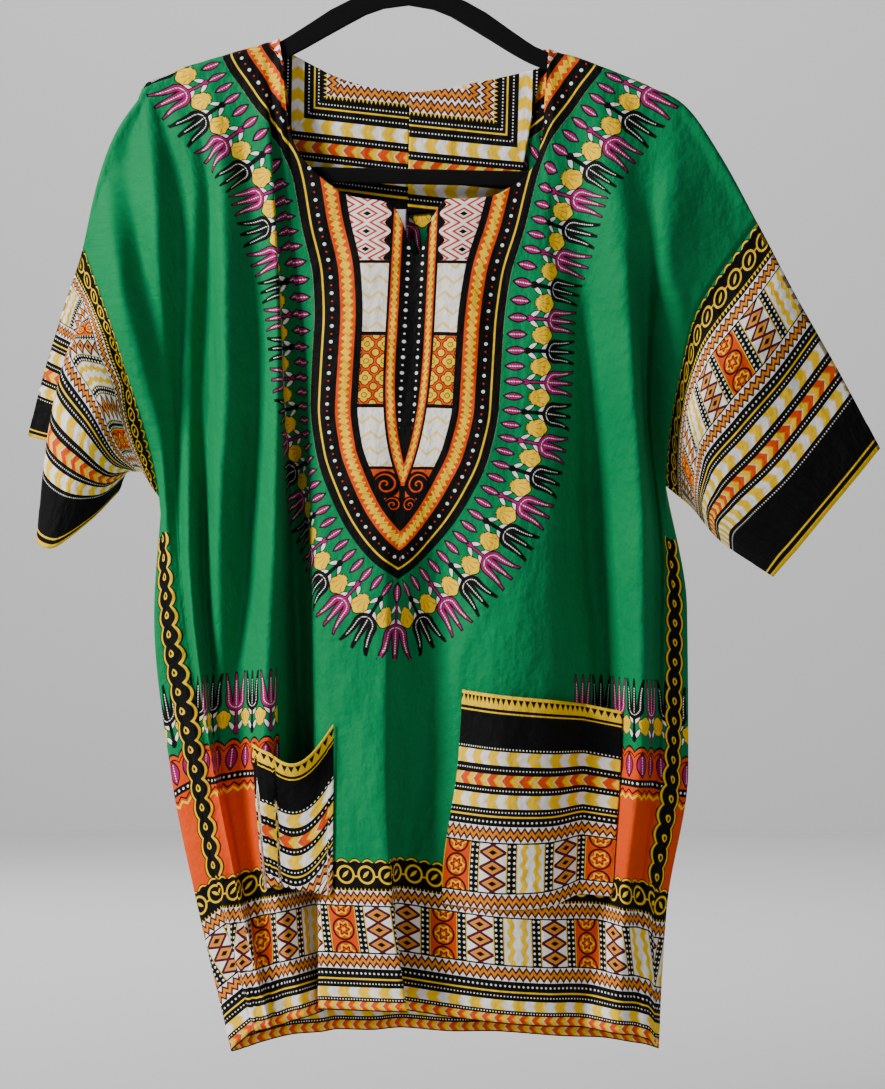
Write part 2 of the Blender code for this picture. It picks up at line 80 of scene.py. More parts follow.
# Where the fold tables are read, as a share of each line's length.
DOWN = (0.0, 0.13, 0.32, 0.5, 0.68, 0.84, 1.0)
UNDERARM = DOWN[2]
# A fold whose top lies on the hanger's arm.
REST = None

# The flat cut: the panels' length and where it starts, the sleeves' length and half their girth, the
# pockets' depth, and the height that parts a panel's two printed finishes.
LENGTH = 775.0
SHOULDER_DROP = 113.0
SLEEVE_LENGTH = 217.0
SLEEVE_AROUND = 250.0
POCKET_DEPTH = 161.5
SPLIT_HEIGHT = 284.0
# The back's folds between which the two halves of the facing lie.
FACING_FOLDS = (6.0, 8.0, 10.0)

# The hanger's upper edge on one side: across and drop.
ARM_EDGE = (
    (7, 56), (8, 66), (22, 72), (52, 82), (90, 108), (104, 116.5), (130, 124.5), (158, 133), (188, 145),
    (196, 149), (205, 151.5), (226, 180),
)
HANGER_TILT = 1.2
HANGER_MIDDLE = 0.8
ARM_DEPTH = 5.4
OVER_ARM = 2.4
ARM_REACH = 213.0
SEAM_HALF = 0.35
# How far the cloth stays off the arm's sides, how far below its top it is round, and where it comes free.
ARM_CLEAR = 1.2
ROUND_OVER = 4.0
FREE_BELOW = 238.0
FREE_OVER = 40.0


class Fold(NamedTuple):
    """One line down a panel: its top and hem drops, and its places at each share in DOWN."""

    name: str
    top: Optional[float]
    hem: float
    across: tuple[float, ...]
    forward: tuple[float, ...]


FRONT = (
    Fold("left seam", 274, 893, (-258, -229, -198, -190, -168, -148, -123), (1, 13, 3, 7, 11, 11, 9)),
    Fold("fall ridge", 221, 893, (-246, -226, -196, -187, -166, -146, -120), (1, 24, 10, 11, 14, 15, 13)),
    Fold("fall groove", 184, 892, (-232, -213, -193, -184, -164, -144, -118), (1, 10, 5, 9, 13, 15, 13)),
    Fold("arm ridge", 155, 892, (-212, -199, -189, -182, -162, -141, -115), (1, 26, 0, 7, 12, 15, 13)),
    Fold("arm groove", REST, 891, (-203, -183, -184, -179, -160, -138, -112), (1, 9, -7, 9, 15, 17, 14)),
    Fold("side ridge", REST, 890, (-192, -169, -175, -173, -159, -137, -110),
         (1, 16, -4, 24, 30, 28, 18)),
    Fold("side groove", REST, 889, (-178, -158, -161, -162, -155, -134, -106),
         (1, 11, -10, 4, 10, 14, 11)),
    Fold("chest ridge", REST, 888, (-162, -147, -145, -149, -148, -132, -101),
         (1, 25, 34, 30, 12, 14, 13)),
    Fold("chest groove", REST, 885, (-144, -128, -122, -128, -134, -122, -93),
         (1, 15, 12, 6, 10, 15, 12)),
    Fold("left fold", REST, 881, (-122, -109, -103, -105, -110, -106, -82), (1, 23, 32, 38, 38, 32, 21)),
    Fold("left recess", REST, 878, (-111, -108, -99, -94, -90, -81, -69), (1, 13, 4, -14, -16, -8, 4)),
    Fold("neck corner", 119, 877, (-102, -99, -85, -81, -79, -75, -69), (5.5, 14, 10, 2, -2, 6, 12)),
    Fold("panel left", 192, 874, (-92, -84, -74, -73, -70, -69, -70), (11, 17, 20, 24, 28, 30, 26)),
    Fold("yoke left", 232, 874, (-55, -54, -49, -46, -46, -47, -47), (15, 22, 28, 37, 39, 39, 33)),
    Fold("centre ridge", 244, 874, (-13, -16, -19, -21, -21, -16, -4), (17, 24, 30, 43, 48, 50, 47)),
    Fold("centre", 283, 874, (5, 1, -6, -11, -14, -16, -11), (18, 24, 30, 38, 38, 34, 30)),
    Fold("centre groove", 242, 875, (24, 21, 16, 19, 10, -6, -12), (17, 24, 28, 20, 13, 11, 11)),
    Fold("yoke right", 238, 880, (47, 46, 43, 44, 39, 26, 26), (16, 24, 30, 30, 27, 20, 18)),
    Fold("right ridge", 232, 885, (73, 71, 69, 71, 71, 68, 70), (14, 22, 30, 38, 38, 34, 25)),
    Fold("panel right", 204, 888, (101, 103, 107, 109, 110, 107, 106), (11, 22, 27, 32, 30, 27, 21)),
    Fold("neck corner right", 130, 889, (109, 114, 126, 130, 137, 134, 126), (5.5, 15, 14, 8, 7, 11, 13)),
    Fold("right recess", REST, 891, (121, 133, 142, 146, 156, 153, 140), (1, 14, 3, -10, -7, 0, 7)),
    Fold("right fold", REST, 894, (150, 163, 174, 180, 180, 169, 162), (1, 25, 37, 34, 29, 27, 20)),
    Fold("arm groove right", REST, 896, (188, 187, 185, 195, 194, 180, 176), (1, 14, -8, 3, 9, 13, 13)),
    Fold("arm ridge right", 164, 898, (218, 203, 191, 201, 200, 186, 183), (1, 22, -6, 6, 12, 14, 13)),
    Fold("fall groove right", 204, 900, (246, 214, 196, 205, 204, 189, 188), (1, 17, -2, 8, 11, 12, 11)),
    Fold("right seam", 255, 906, (274, 221, 202, 209, 207, 192, 193), (1, 11, 3, 7, 9, 9, 8)),
)

BACK = (
    Fold("left seam", 274, 893, (-258, -229, -198, -190, -168, -148, -123), (-1, -11, 1, 5, 9, 9, 7)),
    Fold("left wrap", 222, 910, (-246, -224, -195, -202, -189, -167, -141),
         (-1, -20, -9, -3, -3, -4, -4)),
    Fold("left back", 172, 910, (-225, -207, -188, -183, -170, -154, -130),
         (-1, -24, -36, -34, -34, -31, -26)),
    Fold("first groove", REST, 905, (-190, -178, -156, -152, -147, -134, -117),
         (-1, -14, -28, -28, -26, -24, -20)),
    Fold("first ridge", REST, 901, (-154, -142, -126, -122, -117, -111, -95),
         (-1, -26, -44, -48, -46, -42, -34)),
    Fold("second groove", REST, 898, (-119, -107, -97, -89, -84, -79, -71),
         (-1, -16, -28, -34, -36, -32, -26)),
    Fold("neck corner", 118, 897, (-101, -90, -80, -70, -66, -62, -58),
         (-7, -17, -34, -44, -48, -44, -36)),
    Fold("neck left", 142, 896, (-51, -44, -38, -33, -32, -30, -30), (-9, -16, -30, -32, -30, -28, -24)),
    Fold("neck middle", 151, 896, (0, -2, -4, -6, -8, -8, -6), (-11, -17, -32, -46, -50, -48, -40)),
    Fold("neck right", 144, 897, (51, 43, 36, 32, 28, 28, 32), (-9, -16, -28, -30, -28, -26, -22)),
    Fold("neck corner right", 132, 899, (104, 87, 75, 71, 71, 70, 71),
         (-7, -15, -32, -46, -50, -46, -38)),
    Fold("third groove", REST, 901, (121, 126, 128, 130, 128, 122, 120),
         (-1, -15, -28, -32, -32, -28, -24)),
    Fold("third ridge", REST, 903, (158, 162, 164, 166, 166, 160, 152),
         (-1, -26, -44, -48, -46, -42, -32)),
    Fold("fourth groove", REST, 905, (196, 194, 188, 191, 191, 183, 174),
         (-1, -14, -31, -29, -27, -24, -20)),
    Fold("right back", 178, 907, (229, 211, 197, 209, 210, 197, 187), (-1, -23, -34, -30, -28, -25, -20)),
    Fold("right wrap", 214, 908, (251, 221, 200, 219, 220, 203, 196), (-1, -19, -9, -3, -3, -4, -4)),
    Fold("right seam", 255, 906, (274, 221, 202, 209, 207, 192, 193), (-1, -9, 1, 5, 7, 7, 6)),
)


class Ring(NamedTuple):
    """One section of a sleeve: its front from the top fold to the underarm, then its back."""

    share: float
    front: tuple[tuple[float, float, float], ...]
    back: tuple[tuple[float, float, float], ...]


LEFT_SLEEVE = (
    Ring(0.35, ((-274, 322, -8), (-261, 336, -2), (-262, 352, 20), (-242, 390, 24),
                (-226, 432, 12), (-213, 452, 3)),
         ((-226, 412, -18), (-256, 356, -22))),
    Ring(0.7, ((-292, 378, -18), (-269, 393, -8), (-285, 428, 18), (-264, 452, 30),
               (-240, 462, 18), (-222, 452, 4)),
         ((-244, 420, -26), (-278, 384, -32))),
    Ring(1.0, ((-304, 423, -26), (-270, 437, -12), (-293, 505, 16), (-281, 513, 30),
               (-252, 492, 20), (-230, 468, 4)),
         ((-254, 446, -28), (-286, 426, -36))),
)
RIGHT_SLEEVE = (
    Ring(0.35, ((304, 312, 1), (276, 350, 22), (243, 388, 32), (222, 425, 28), (220, 458, 16),
                (222, 480, 2)),
         ((238, 420, -16), (276, 356, -20))),
    Ring(0.7, ((339, 374, 1), (311, 410, 16), (281, 446, 26), (251, 476, 24), (240, 492, 14),
               (243, 505, 2)),
         ((268, 462, -18), (310, 408, -20))),
    Ring(1.0, ((371, 434, 1), (350, 459, 12), (328, 485, 16), (307, 511, 13), (296, 524, 8),
               (287, 535, 2)),
         ((314, 498, -14), (346, 458, -14))),
)


class Crease(NamedTuple):
    """A soft ridge (or trough, where its height is below nothing) laid on a panel."""

    across: float
    drop: float
    reach: float
    turn: float
    height: float
    width: float


def unit(vectors: np.ndarray) -> np.ndarray:
    """Scale vectors to length one."""
    return vectors / (np.linalg.norm(vectors, axis=-1, keepdims=True) + 1e-12)


def smooth_curve(knots: Sequence[float], values: np.ndarray, wanted: np.ndarray) -> np.ndarray:
    """Read a smooth curve that never runs past its knots' values.

    Args:
        knots: Where the curve's values are given.
        values: The values, a row a knot.
        wanted: Where the curve is read.

    Returns:
        A row of values for each wanted place.
    """
    knots = np.asarray(knots, float)
    values = np.asarray(values, float).reshape(len(knots), -1)
    rise = np.diff(values, axis=0) / np.diff(knots)[:, None]
    same = rise[:-1] * rise[1:]
    inner = np.where(same > 0, 2 * same / (rise[:-1] + rise[1:] + 1e-12), 0)
    tangent = np.concatenate([rise[:1], inner, rise[-1:]])
    wanted = np.clip(np.asarray(wanted, float), knots[0], knots[-1])
    span = np.clip(np.searchsorted(knots, wanted, side="right") - 1, 0, len(knots) - 2)
    width = (knots[span + 1] - knots[span])[:, None]
    t = (wanted[:, None] - knots[span][:, None]) / width
    near = (2 * t**3 - 3 * t**2 + 1) * values[span] + (t**3 - 2 * t**2 + t) * width * tangent[span]
    far = (3 * t**2 - 2 * t**3) * values[span + 1] + (t**3 - t**2) * width * tangent[span + 1]
    return near + far


def flowing_curve(values: np.ndarray, wanted: np.ndarray) -> np.ndarray:
    """Read a rounder curve through evenly numbered points.

    Args:
        values: The points, a row each.
        wanted: Fractional point numbers.

    Returns:
        A row of values for each wanted number.
    """
    values = np.asarray(values, float).reshape(len(values), -1)
    padded = np.concatenate([2 * values[:1] - values[1:2], values, 2 * values[-1:] - values[-2:-1]])
    wanted = np.clip(np.asarray(wanted, float), 0, len(values) - 1)
    span = np.clip(wanted.astype(int), 0, len(values) - 2)
    t = (wanted - span)[:, None]
    before, here, after, beyond = (padded[span + k] for k in range(4))
    bend = (2 * before - 5 * here + 4 * after - beyond) * t**2
    return here + 0.5 * ((after - before) * t + bend + (3 * here - before - 3 * after + beyond) * t**3)


def arm_top(across: Union[float, np.ndarray]) -> np.ndarray:
    """The drop of the tilted hanger's upper edge at a distance across.

    Args:
        across: Distances to the right of the hook.

    Returns:
        The drops there.
    """
    places = [-x for x, _ in reversed(ARM_EDGE)] + [x for x, _ in ARM_EDGE]
    drops = [drop for _, drop in reversed(ARM_EDGE)] + [drop for _, drop in ARM_EDGE]
    lean = math.sin(math.radians(HANGER_TILT))
    local = np.asarray(across, float) - HANGER_MIDDLE
    local = local + lean * np.interp(local, places, drops)
    return np.interp(local, places, drops) + lean * local


def arc_lengths(points: np.ndarray, axis: int) -> np.ndarray:
    """Running length along an axis of a grid of points, from nothing at its start.

    Args:
        points: The grid.
        axis: 0 to run down it, 1 to run across it.

    Returns:
        A length for each point.
    """
    steps = np.linalg.norm(np.diff(points, axis=axis), axis=-1)
    start = np.zeros_like(np.take(steps, [0], axis=axis))
    return np.concatenate([start, np.cumsum(steps, axis=axis)], axis=axis)


class Panel:
    """A front or back panel: a smooth sheet through its fold lines."""

    def __init__(self, folds: Sequence[Fold], side: int, creases: Sequence[Crease]) -> None:
        """Keep the panel's fold lines, which side it is on (1 for the front) and its creases."""
        self.folds = folds
        self.side = side
        self.creases = creases
        self.neck = [k for k, fold in enumerate(folds) if fold.name.startswith("neck corner")]
        self.middle = next(k for k, fold in enumerate(folds) if fold.name in ("centre", "neck middle"))

    @property
    def last(self) -> int:
        """The number of the last fold line."""
        return len(self.folds) - 1

    def fold_line(self, fold: Fold, rows: np.ndarray) -> np.ndarray:
        """Points down one fold line at shares of its length.

        Args:
            fold: The line's places.
            rows: Shares of its length.

        Returns:
            A row of across, drop and forward for each share.
        """
        values = np.column_stack([fold.across, fold.forward])
        across, forward = smooth_curve(DOWN, values, rows).T
        top = float(arm_top(fold.across[0])) - OVER_ARM if fold.top is REST else fold.top
        return np.column_stack([across, top + (fold.hem - top) * rows, forward])

    def tops(self, columns: np.ndarray) -> np.ndarray:
        """Across and drop of the top edge at fractional fold numbers."""
        ends = np.stack([self.fold_line(fold, np.zeros(1))[0] for fold in self.folds])
        return flowing_curve(ends, columns)[:, :2]

    def points(self, columns: np.ndarray, rows: np.ndarray) -> np.ndarray:
        """Points of the sheet.

        Args:
            columns: Fractional fold numbers.
            rows: Shares of the length.

        Returns:
            A grid of across, drop and forward, row by row.
        """
        rows = np.asarray(rows, float)
        columns = np.asarray(columns, float)
        lines = np.stack([self.fold_line(fold, rows) for fold in self.folds])
        flat = lines.reshape(len(self.folds), -1)
        grid = flowing_curve(flat, columns).reshape(len(columns), len(rows), 3).transpose(1, 0, 2)
        shoulder = (columns < self.neck[0]) | (columns > self.neck[1])
        tops = self.tops(columns)
        over_arm = shoulder & (np.abs(tops[:, 0]) < ARM_REACH)
        lift = np.where(over_arm, tops[:, 1] - np.minimum(tops[:, 1], arm_top(tops[:, 0]) - OVER_ARM), 0)
        grid[..., 1] -= lift * (1 - rows[:, None])
        below_top = grid[..., 1] - (tops[:, 1] - lift)
        forward = self.side * grid[..., 2]
        over = np.clip(below_top / ROUND_OVER, 0, 1)
        least = SEAM_HALF + (ARM_DEPTH / 2 + ARM_CLEAR - SEAM_HALF) * np.sqrt(1 - (1 - over) ** 2)
        least = least - FREE_OVER * np.clip((grid[..., 1] - FREE_BELOW) / FREE_OVER, 0, 1) ** 2
        edge = np.clip(np.minimum(columns, self.last - columns), 0, 1)
        least = np.where(edge < 1, least - 8 * (1 - edge) * np.clip(below_top / 30, 0, 1), least)
        clear = np.where(shoulder[None, :], np.maximum(forward, least), forward)
        clear = clear - (1 - SEAM_HALF) * np.clip(1 - 2 * edge, 0, 1)
        return np.stack([grid[..., 0], grid[..., 1], self.side * clear], axis=-1)

    def creased(self, grid: np.ndarray, strength: float = 1.0) -> np.ndarray:
        """The grid with the listed creases and a fine unevenness pushed into it.

        Args:
            grid: The sheet's points.
            strength: How much of the creases is laid on.

        Returns:
            The grid, pushed forward or back.
        """
        out = grid.copy()
        lift = np.zeros(grid.shape[:2])
        for crease in self.creases:
            turn = math.radians(crease.turn)
            dx, dz = grid[..., 0] - crease.across, grid[..., 1] - crease.drop
            along = dx * math.sin(turn) + dz * math.cos(turn)
            off = dx * math.cos(turn) - dz * math.sin(turn)
            off = off + 0.0016 * along**2 * math.sin(crease.drop)
            across = np.exp(-((off / crease.width) ** 2))
            lift += crease.height * across * np.exp(-((along / crease.reach) ** 2))
        x, z = grid[..., 0], grid[..., 1]
        for k, (size, amount) in enumerate(((61.0, 0.55), (33.0, 0.4), (17.0, 0.22))):
            warp = np.sin(z / (2.3 * size) + 1.7 * k) * 1.6 + np.sin(x / size * 0.7 + z / size * 0.35 + k)
            lift += amount * np.sin(x / size * 2.1 + warp + 2.1 * k) * np.sin(z / size * 0.9 - warp * 1.3)
        columns = np.linspace(0, 1, grid.shape[1])
        fade = np.clip(np.minimum(columns, 1 - columns) / 0.02, 0, 1)[None, :]
        top = np.clip(arc_lengths(grid, 0) / 25.0, 0, 1)
        out[..., 2] += self.side * lift * fade * top * strength
        return out


def outward(points: np.ndarray, side: int) -> np.ndarray:
    """Unit normals of a grid of points, on the given side of the garment.

    Args:
        points: The grid.
        side: 1 for normals that point forward, -1 for back.

    Returns:
        A unit vector for each point.
    """
    normal = unit(np.cross(np.gradient(points, axis=1), np.gradient(points, axis=0)))
    return normal * np.where(np.median(normal[..., 2]) * side < 0, -1.0, 1.0)


def place(points: np.ndarray) -> np.ndarray:
    """Table values as points in the frame, in metres."""
    return np.stack([points[..., 0], -points[..., 2], -points[..., 1]], axis=-1) * MM


def turned_hem(distance: np.ndarray, deep: float) -> np.ndarray:
    """The wall's share at a distance from an edge: whole on its turned hem, thin elsewhere."""
    return THIN_SHARE + (1 - THIN_SHARE) * (distance < deep)


def add_object(name: str, data: Any) -> bpy.types.Object:
    """A new object in the scene."""
    made = bpy.data.objects.new(name, data)
    bpy.context.scene.collection.objects.link(made)
    return made


@dataclass
class Cloth:
    """A piece of cloth as a grid of points with the print's own coordinates on it."""

    name: str
    points: np.ndarray
    maps: dict[str, np.ndarray]
    closed: bool = False
    faces_back: bool = False
    wall: float = CLOTH
    thick: Optional[np.ndarray] = None

    def flat(self) -> tuple[float, float]:
        """The mean width and length of the sheet along its folds, in metres."""
        width = arc_lengths(self.points, 1)[:, -1].mean()
        length = arc_lengths(self.points, 0)[-1].mean()
        return float(width) * MM, float(length) * MM

    def build(self, material: bpy.types.Material,
              below: Optional[bpy.types.Material] = None) -> bpy.types.Object:
        """Make the thin shell.

        Args:
            material: The cloth's finish.
            below: Another finish for the faces near the hem, or nothing.

        Returns:
            The new object, with a wall on its sheet.
        """
        rows, columns = self.points.shape[:2]
        mesh = bmesh.new()
        layers = {key: mesh.verts.layers.float_vector.new(key) for key in self.maps}
        bmesh.ops.create_grid(mesh, x_segments=columns - 1, y_segments=rows - 1, size=0.5)
        spots = place(self.points)
        weights = mesh.verts.layers.deform.new() if self.thick is not None else None
        for vert in mesh.verts:
            c = round((vert.co.x + 0.5) * (columns - 1))
            r = round((0.5 - vert.co.y) * (rows - 1))
            vert.co = spots[r, c]
            for key, layer in layers.items():
                vert[layer] = self.maps[key][r, c]
            if weights is not None:
                vert[weights][0] = float(self.thick[r, c])
        if below is not None:
            for face in mesh.faces:
                face.material_index = int(max(vert[layers["cut"]].z for vert in face.verts) < SPLIT_HEIGHT)
        if self.faces_back:
            bmesh.ops.reverse_faces(mesh, faces=mesh.faces[:])
        if self.closed:
            bmesh.ops.remove_doubles(mesh, verts=mesh.verts[:], dist=0.00002)
        data = bpy.data.meshes.new(self.name)
        mesh.to_mesh(data)
        mesh.free()
        data.shade_smooth()
        data.materials.append(material)
        if below is not None:
            data.materials.append(below)
        piece = add_object(self.name, data)
        wall = piece.modifiers.new("wall", "SOLIDIFY")
        wall.thickness = self.wall * MM
        wall.offset = 0.0
        wall.use_even_offset = False
        if self.thick is not None:
            piece.vertex_groups.new(name="hems")
            wall.vertex_group = "hems"
            wall.thickness_vertex_group = 0.0
        return piece


def dress(piece: bpy.types.Object, slot: str, *nodes: str) -> bpy.types.Object:
    """Let a piece ride on the body and stand for its solids.

    Args:
        piece: The new piece.
        slot: The record's material slot; not used.
        nodes: The solids that it stands for.

    Returns:
        The piece.
    """
    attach(piece, BODY)
    if nodes:
        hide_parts(*nodes)
    LOG.info("built %s", piece.name)
    return piece


class Value:
    """A shader socket that takes part in sums, and adds the Math nodes that they need."""

    def __init__(self, recipe: "Recipe", socket: bpy.types.NodeSocket) -> None:
        """Wrap a socket of a recipe's node tree."""
        self.recipe = recipe
        self.socket = socket

    def __add__(self, other: "Term") -> "Value":
        """self + other."""
        return self.recipe.math("ADD", self, other)

    __radd__ = __add__

    def __sub__(self, other: "Term") -> "Value":
        """self - other."""
        return self.recipe.math("SUBTRACT", self, other)

    def __rsub__(self, other: "Term") -> "Value":
        """other - self."""
        return self.recipe.math("SUBTRACT", other, self)

    def __mul__(self, other: "Term") -> "Value":
        """self * other."""
        return self.recipe.math("MULTIPLY", self, other)

    __rmul__ = __mul__

    def __truediv__(self, other: "Term") -> "Value":
        """self / other."""
        return self.recipe.math("DIVIDE", self, other)

    def __neg__(self) -> "Value":
        """-self."""
        return self.recipe.math("MULTIPLY", self, -1.0)

    def __abs__(self) -> "Value":
        """The size of self."""
        return self.recipe.math("ABSOLUTE", self)


Term = Union[Value, float, int]
Colour = tuple[float, float, float]
# The soft step at a printed edge, in millimetres.
SOFT_EDGE = 0.35


class Recipe:
    """A Principled material that is written as expressions."""

    def __init__(self, name: str, roughness: float = 0.72, **uniform: float) -> None:
        """Start a material; uniform values go straight on the shader's own sockets."""
        self.material = bpy.data.materials.new(name)
        self.material.use_nodes = True
        self.tree = self.material.node_tree
        self.shader = self.tree.nodes["Principled BSDF"]
        self.shader.inputs["Roughness"].default_value = roughness
        for key, value in uniform.items():
            self.shader.inputs[key.replace("_", " ").title()].default_value = value

    def node(self, kind: str, settings: dict[str, Any], **values: Any) -> bpy.types.Node:
        """Add any node.

        Args:
            kind: The node's type.
            settings: What is set before its sockets, such as an operation.
            values: Numbers or links for its sockets, by name, or by number as _0.

        Returns:
            The new node.
        """
        made = self.tree.nodes.new(kind)
        for key, value in settings.items():
            setattr(made, key, value)
        for key, value in values.items():
            index = int(key[1:]) if key.startswith("_") else key
            self.feed(made.inputs[index], value)
        return made

    def feed(self, socket: bpy.types.NodeSocket, value: Any) -> None:
        """Link a value to a socket, or set it."""
        if isinstance(value, Value):
            self.tree.links.new(value.socket, socket)
        elif isinstance(value, tuple) and len(value) == 3 and socket.type == "RGBA":
            socket.default_value = (*value, 1.0)
        else:
            socket.default_value = value

    def math(self, operation: str, *terms: Term, clamp: bool = False) -> Value:
        """One Math node on values and numbers."""
        made = self.node("ShaderNodeMath", {"operation": operation, "use_clamp": clamp},
                         **{f"_{k}": term for k, term in enumerate(terms)})
        return Value(self, made.outputs[0])

    def attribute(self, name: str) -> tuple[Value, Value, Value]:
        """The three parts of a piece's own attribute."""
        made = self.node("ShaderNodeAttribute", {"attribute_name": name})
        parts = self.node("ShaderNodeSeparateXYZ", {}, _0=Value(self, made.outputs["Vector"]))
        return tuple(Value(self, out) for out in parts.outputs)

    def vector(self, x: Term, y: Term, z: Term = 0.0) -> Value:
        """A vector of three values."""
        return Value(self, self.node("ShaderNodeCombineXYZ", {}, _0=x, _1=y, _2=z).outputs[0])

    def place(self) -> Value:
        """Where a point is on its object."""
        return Value(self, self.node("ShaderNodeTexCoord", {}).outputs["Object"])

    def noise(self, where: Value, scale: float, detail: float = 2.0) -> Value:
        """A soft unevenness between 0 and 1."""
        made = self.node("ShaderNodeTexNoise", {}, Vector=where, Scale=scale, Detail=detail)
        return Value(self, made.outputs["Fac"])

    def mix(self, share: Term, under: Any, over: Any) -> Value:
        """Lay a colour over another by a share.

        Args:
            share: How much of the upper colour shows.
            under: The lower colour.
            over: The upper colour.

        Returns:
            The mixed colour.
        """
        made = self.node("ShaderNodeMix", {"data_type": "RGBA"})
        self.feed(made.inputs["Factor"], share)
        self.feed(made.inputs[6], under)
        self.feed(made.inputs[7], over)
        return Value(self, made.outputs[2])

    def below(self, x: Value, edge: Term, soft: float = SOFT_EDGE) -> Value:
        """1 where x is below an edge, with a soft step."""
        if isinstance(edge, Value):
            x, edge = x - edge, 0.0
        return self.math("MULTIPLY_ADD", x, -1.0 / soft, edge / soft + 0.5, clamp=True)

    def above(self, x: Value, edge: float, soft: float = SOFT_EDGE) -> Value:
        """1 where x is above an edge, with a soft step."""
        return self.math("MULTIPLY_ADD", x, 1.0 / soft, 0.5 - edge / soft, clamp=True)

    def between(self, x: Value, low: float, high: float, soft: float = SOFT_EDGE) -> Value:
        """1 where x is between two edges."""
        return self.below(abs(x - (low + high) / 2), (high - low) / 2, soft)

    def repeat(self, x: Value, period: float, shift: float = 0.0) -> Value:
        """x, wrapped to half a period either side of each motif's middle."""
        moved = x if shift == 0.0 else x - shift
        return self.math("WRAP", moved, period / 2, -period / 2)

    def number(self, x: Value, period: float, shift: float = 0.0) -> Value:
        """The number of the motif that x is in."""
        return self.math("FLOOR", (x - (shift - period / 2)) / period)

    def odd(self, x: Value, period: float, shift: float = 0.0) -> Value:
        """1 on every second motif, otherwise 0."""
        return self.math("PINGPONG", self.number(x, period, shift), 1.0)

    def length(self, x: Value, y: Value) -> Value:
        """The distance from a motif's middle."""
        return self.math("SQRT", self.math("MULTIPLY_ADD", x, x, y * y))

    def disc(self, x: Value, y: Value, radius: float, soft: float = SOFT_EDGE) -> Value:
        """A round spot."""
        return self.below(self.length(x, y), radius, soft)

    def oval(self, x: Value, y: Value, half_x: float, half_y: float, soft: float = 0.12) -> Value:
        """An oval spot."""
        return self.below(self.length(x / half_x, y / half_y), 1.0, soft)

    def leaf(self, x: Value, y: Value, half_long: float, half_wide: float, soft: float = 0.3) -> Value:
        """A pointed leaf along x."""
        bow = self.math("MULTIPLY_ADD", x * x, half_wide / half_long**2, abs(y))
        return self.below(bow, half_wide, soft)

    def zigzag(self, x: Value, y: Value, period: float, height: float) -> Value:
        """y, moved up and down along a zigzag."""
        tooth = abs(self.repeat(x, period)) * (2 * height / period)
        return y - tooth + height / 2

    def both(self, *masks: Value) -> Value:
        """Where all the masks are."""
        shared = masks[0]
        for mask in masks[1:]:
            shared = shared * mask
        return shared

    def either(self, *masks: Value) -> Value:
        """Where any of the masks is."""
        shared = masks[0]
        for mask in masks[1:]:
            shared = self.math("MAXIMUM", shared, mask)
        return shared

    def finish(self, colour: Any, normal: Optional[Value] = None,
               roughness: Any = None) -> bpy.types.Material:
        """Join the colour, bump and roughness to the shader."""
        self.feed(self.shader.inputs["Base Color"], colour)
        if normal is not None:
            self.feed(self.shader.inputs["Normal"], normal)
        if roughness is not None:
            self.feed(self.shader.inputs["Roughness"], roughness)
        return self.material

    def bump(self, height: Value, strength: float, distance: float) -> Value:
        """A bump from a height."""
        made = self.node("ShaderNodeBump", {}, Strength=strength, Distance=distance, Height=height)
        return Value(self, made.outputs[0])


GREEN: Colour = (0.001, 0.2, 0.062)
BLACK: Colour = (0.002, 0.002, 0.002)
YELLOW: Colour = (0.97, 0.59, 0.004)
ORANGE: Colour = (0.74, 0.066, 0.002)
WHITE: Colour = (0.95, 0.92, 0.84)
MAGENTA: Colour = (0.33, 0.006, 0.12)
MAROON: Colour = (0.09, 0.006, 0.012)
OCHRE: Colour = (0.74, 0.25, 0.01)
RED: Colour = (0.6, 0.03, 0.012)
VEIN: Colour = (0.7, 0.24, 0.0)
TAPE: Colour = (0.72, 0.72, 0.7)
PALE: Colour = (0.62, 0.62, 0.61)


class Motif(Enum):
    """What a printed band holds."""

    PLAIN = "plain"
    DOTS = "dots"
    RINGS = "rings"
    TEETH = "teeth"
    ZIGZAG = "zigzag"
    CELLS = "cells"
    IKAT = "ikat"
    ARROWS = "arrows"


class Band(NamedTuple):
    """A printed band between two distances from an edge, on its ground colour."""

    motif: Motif
    low: float
    high: float
    ground: Colour = BLACK
    size: float = 1.0


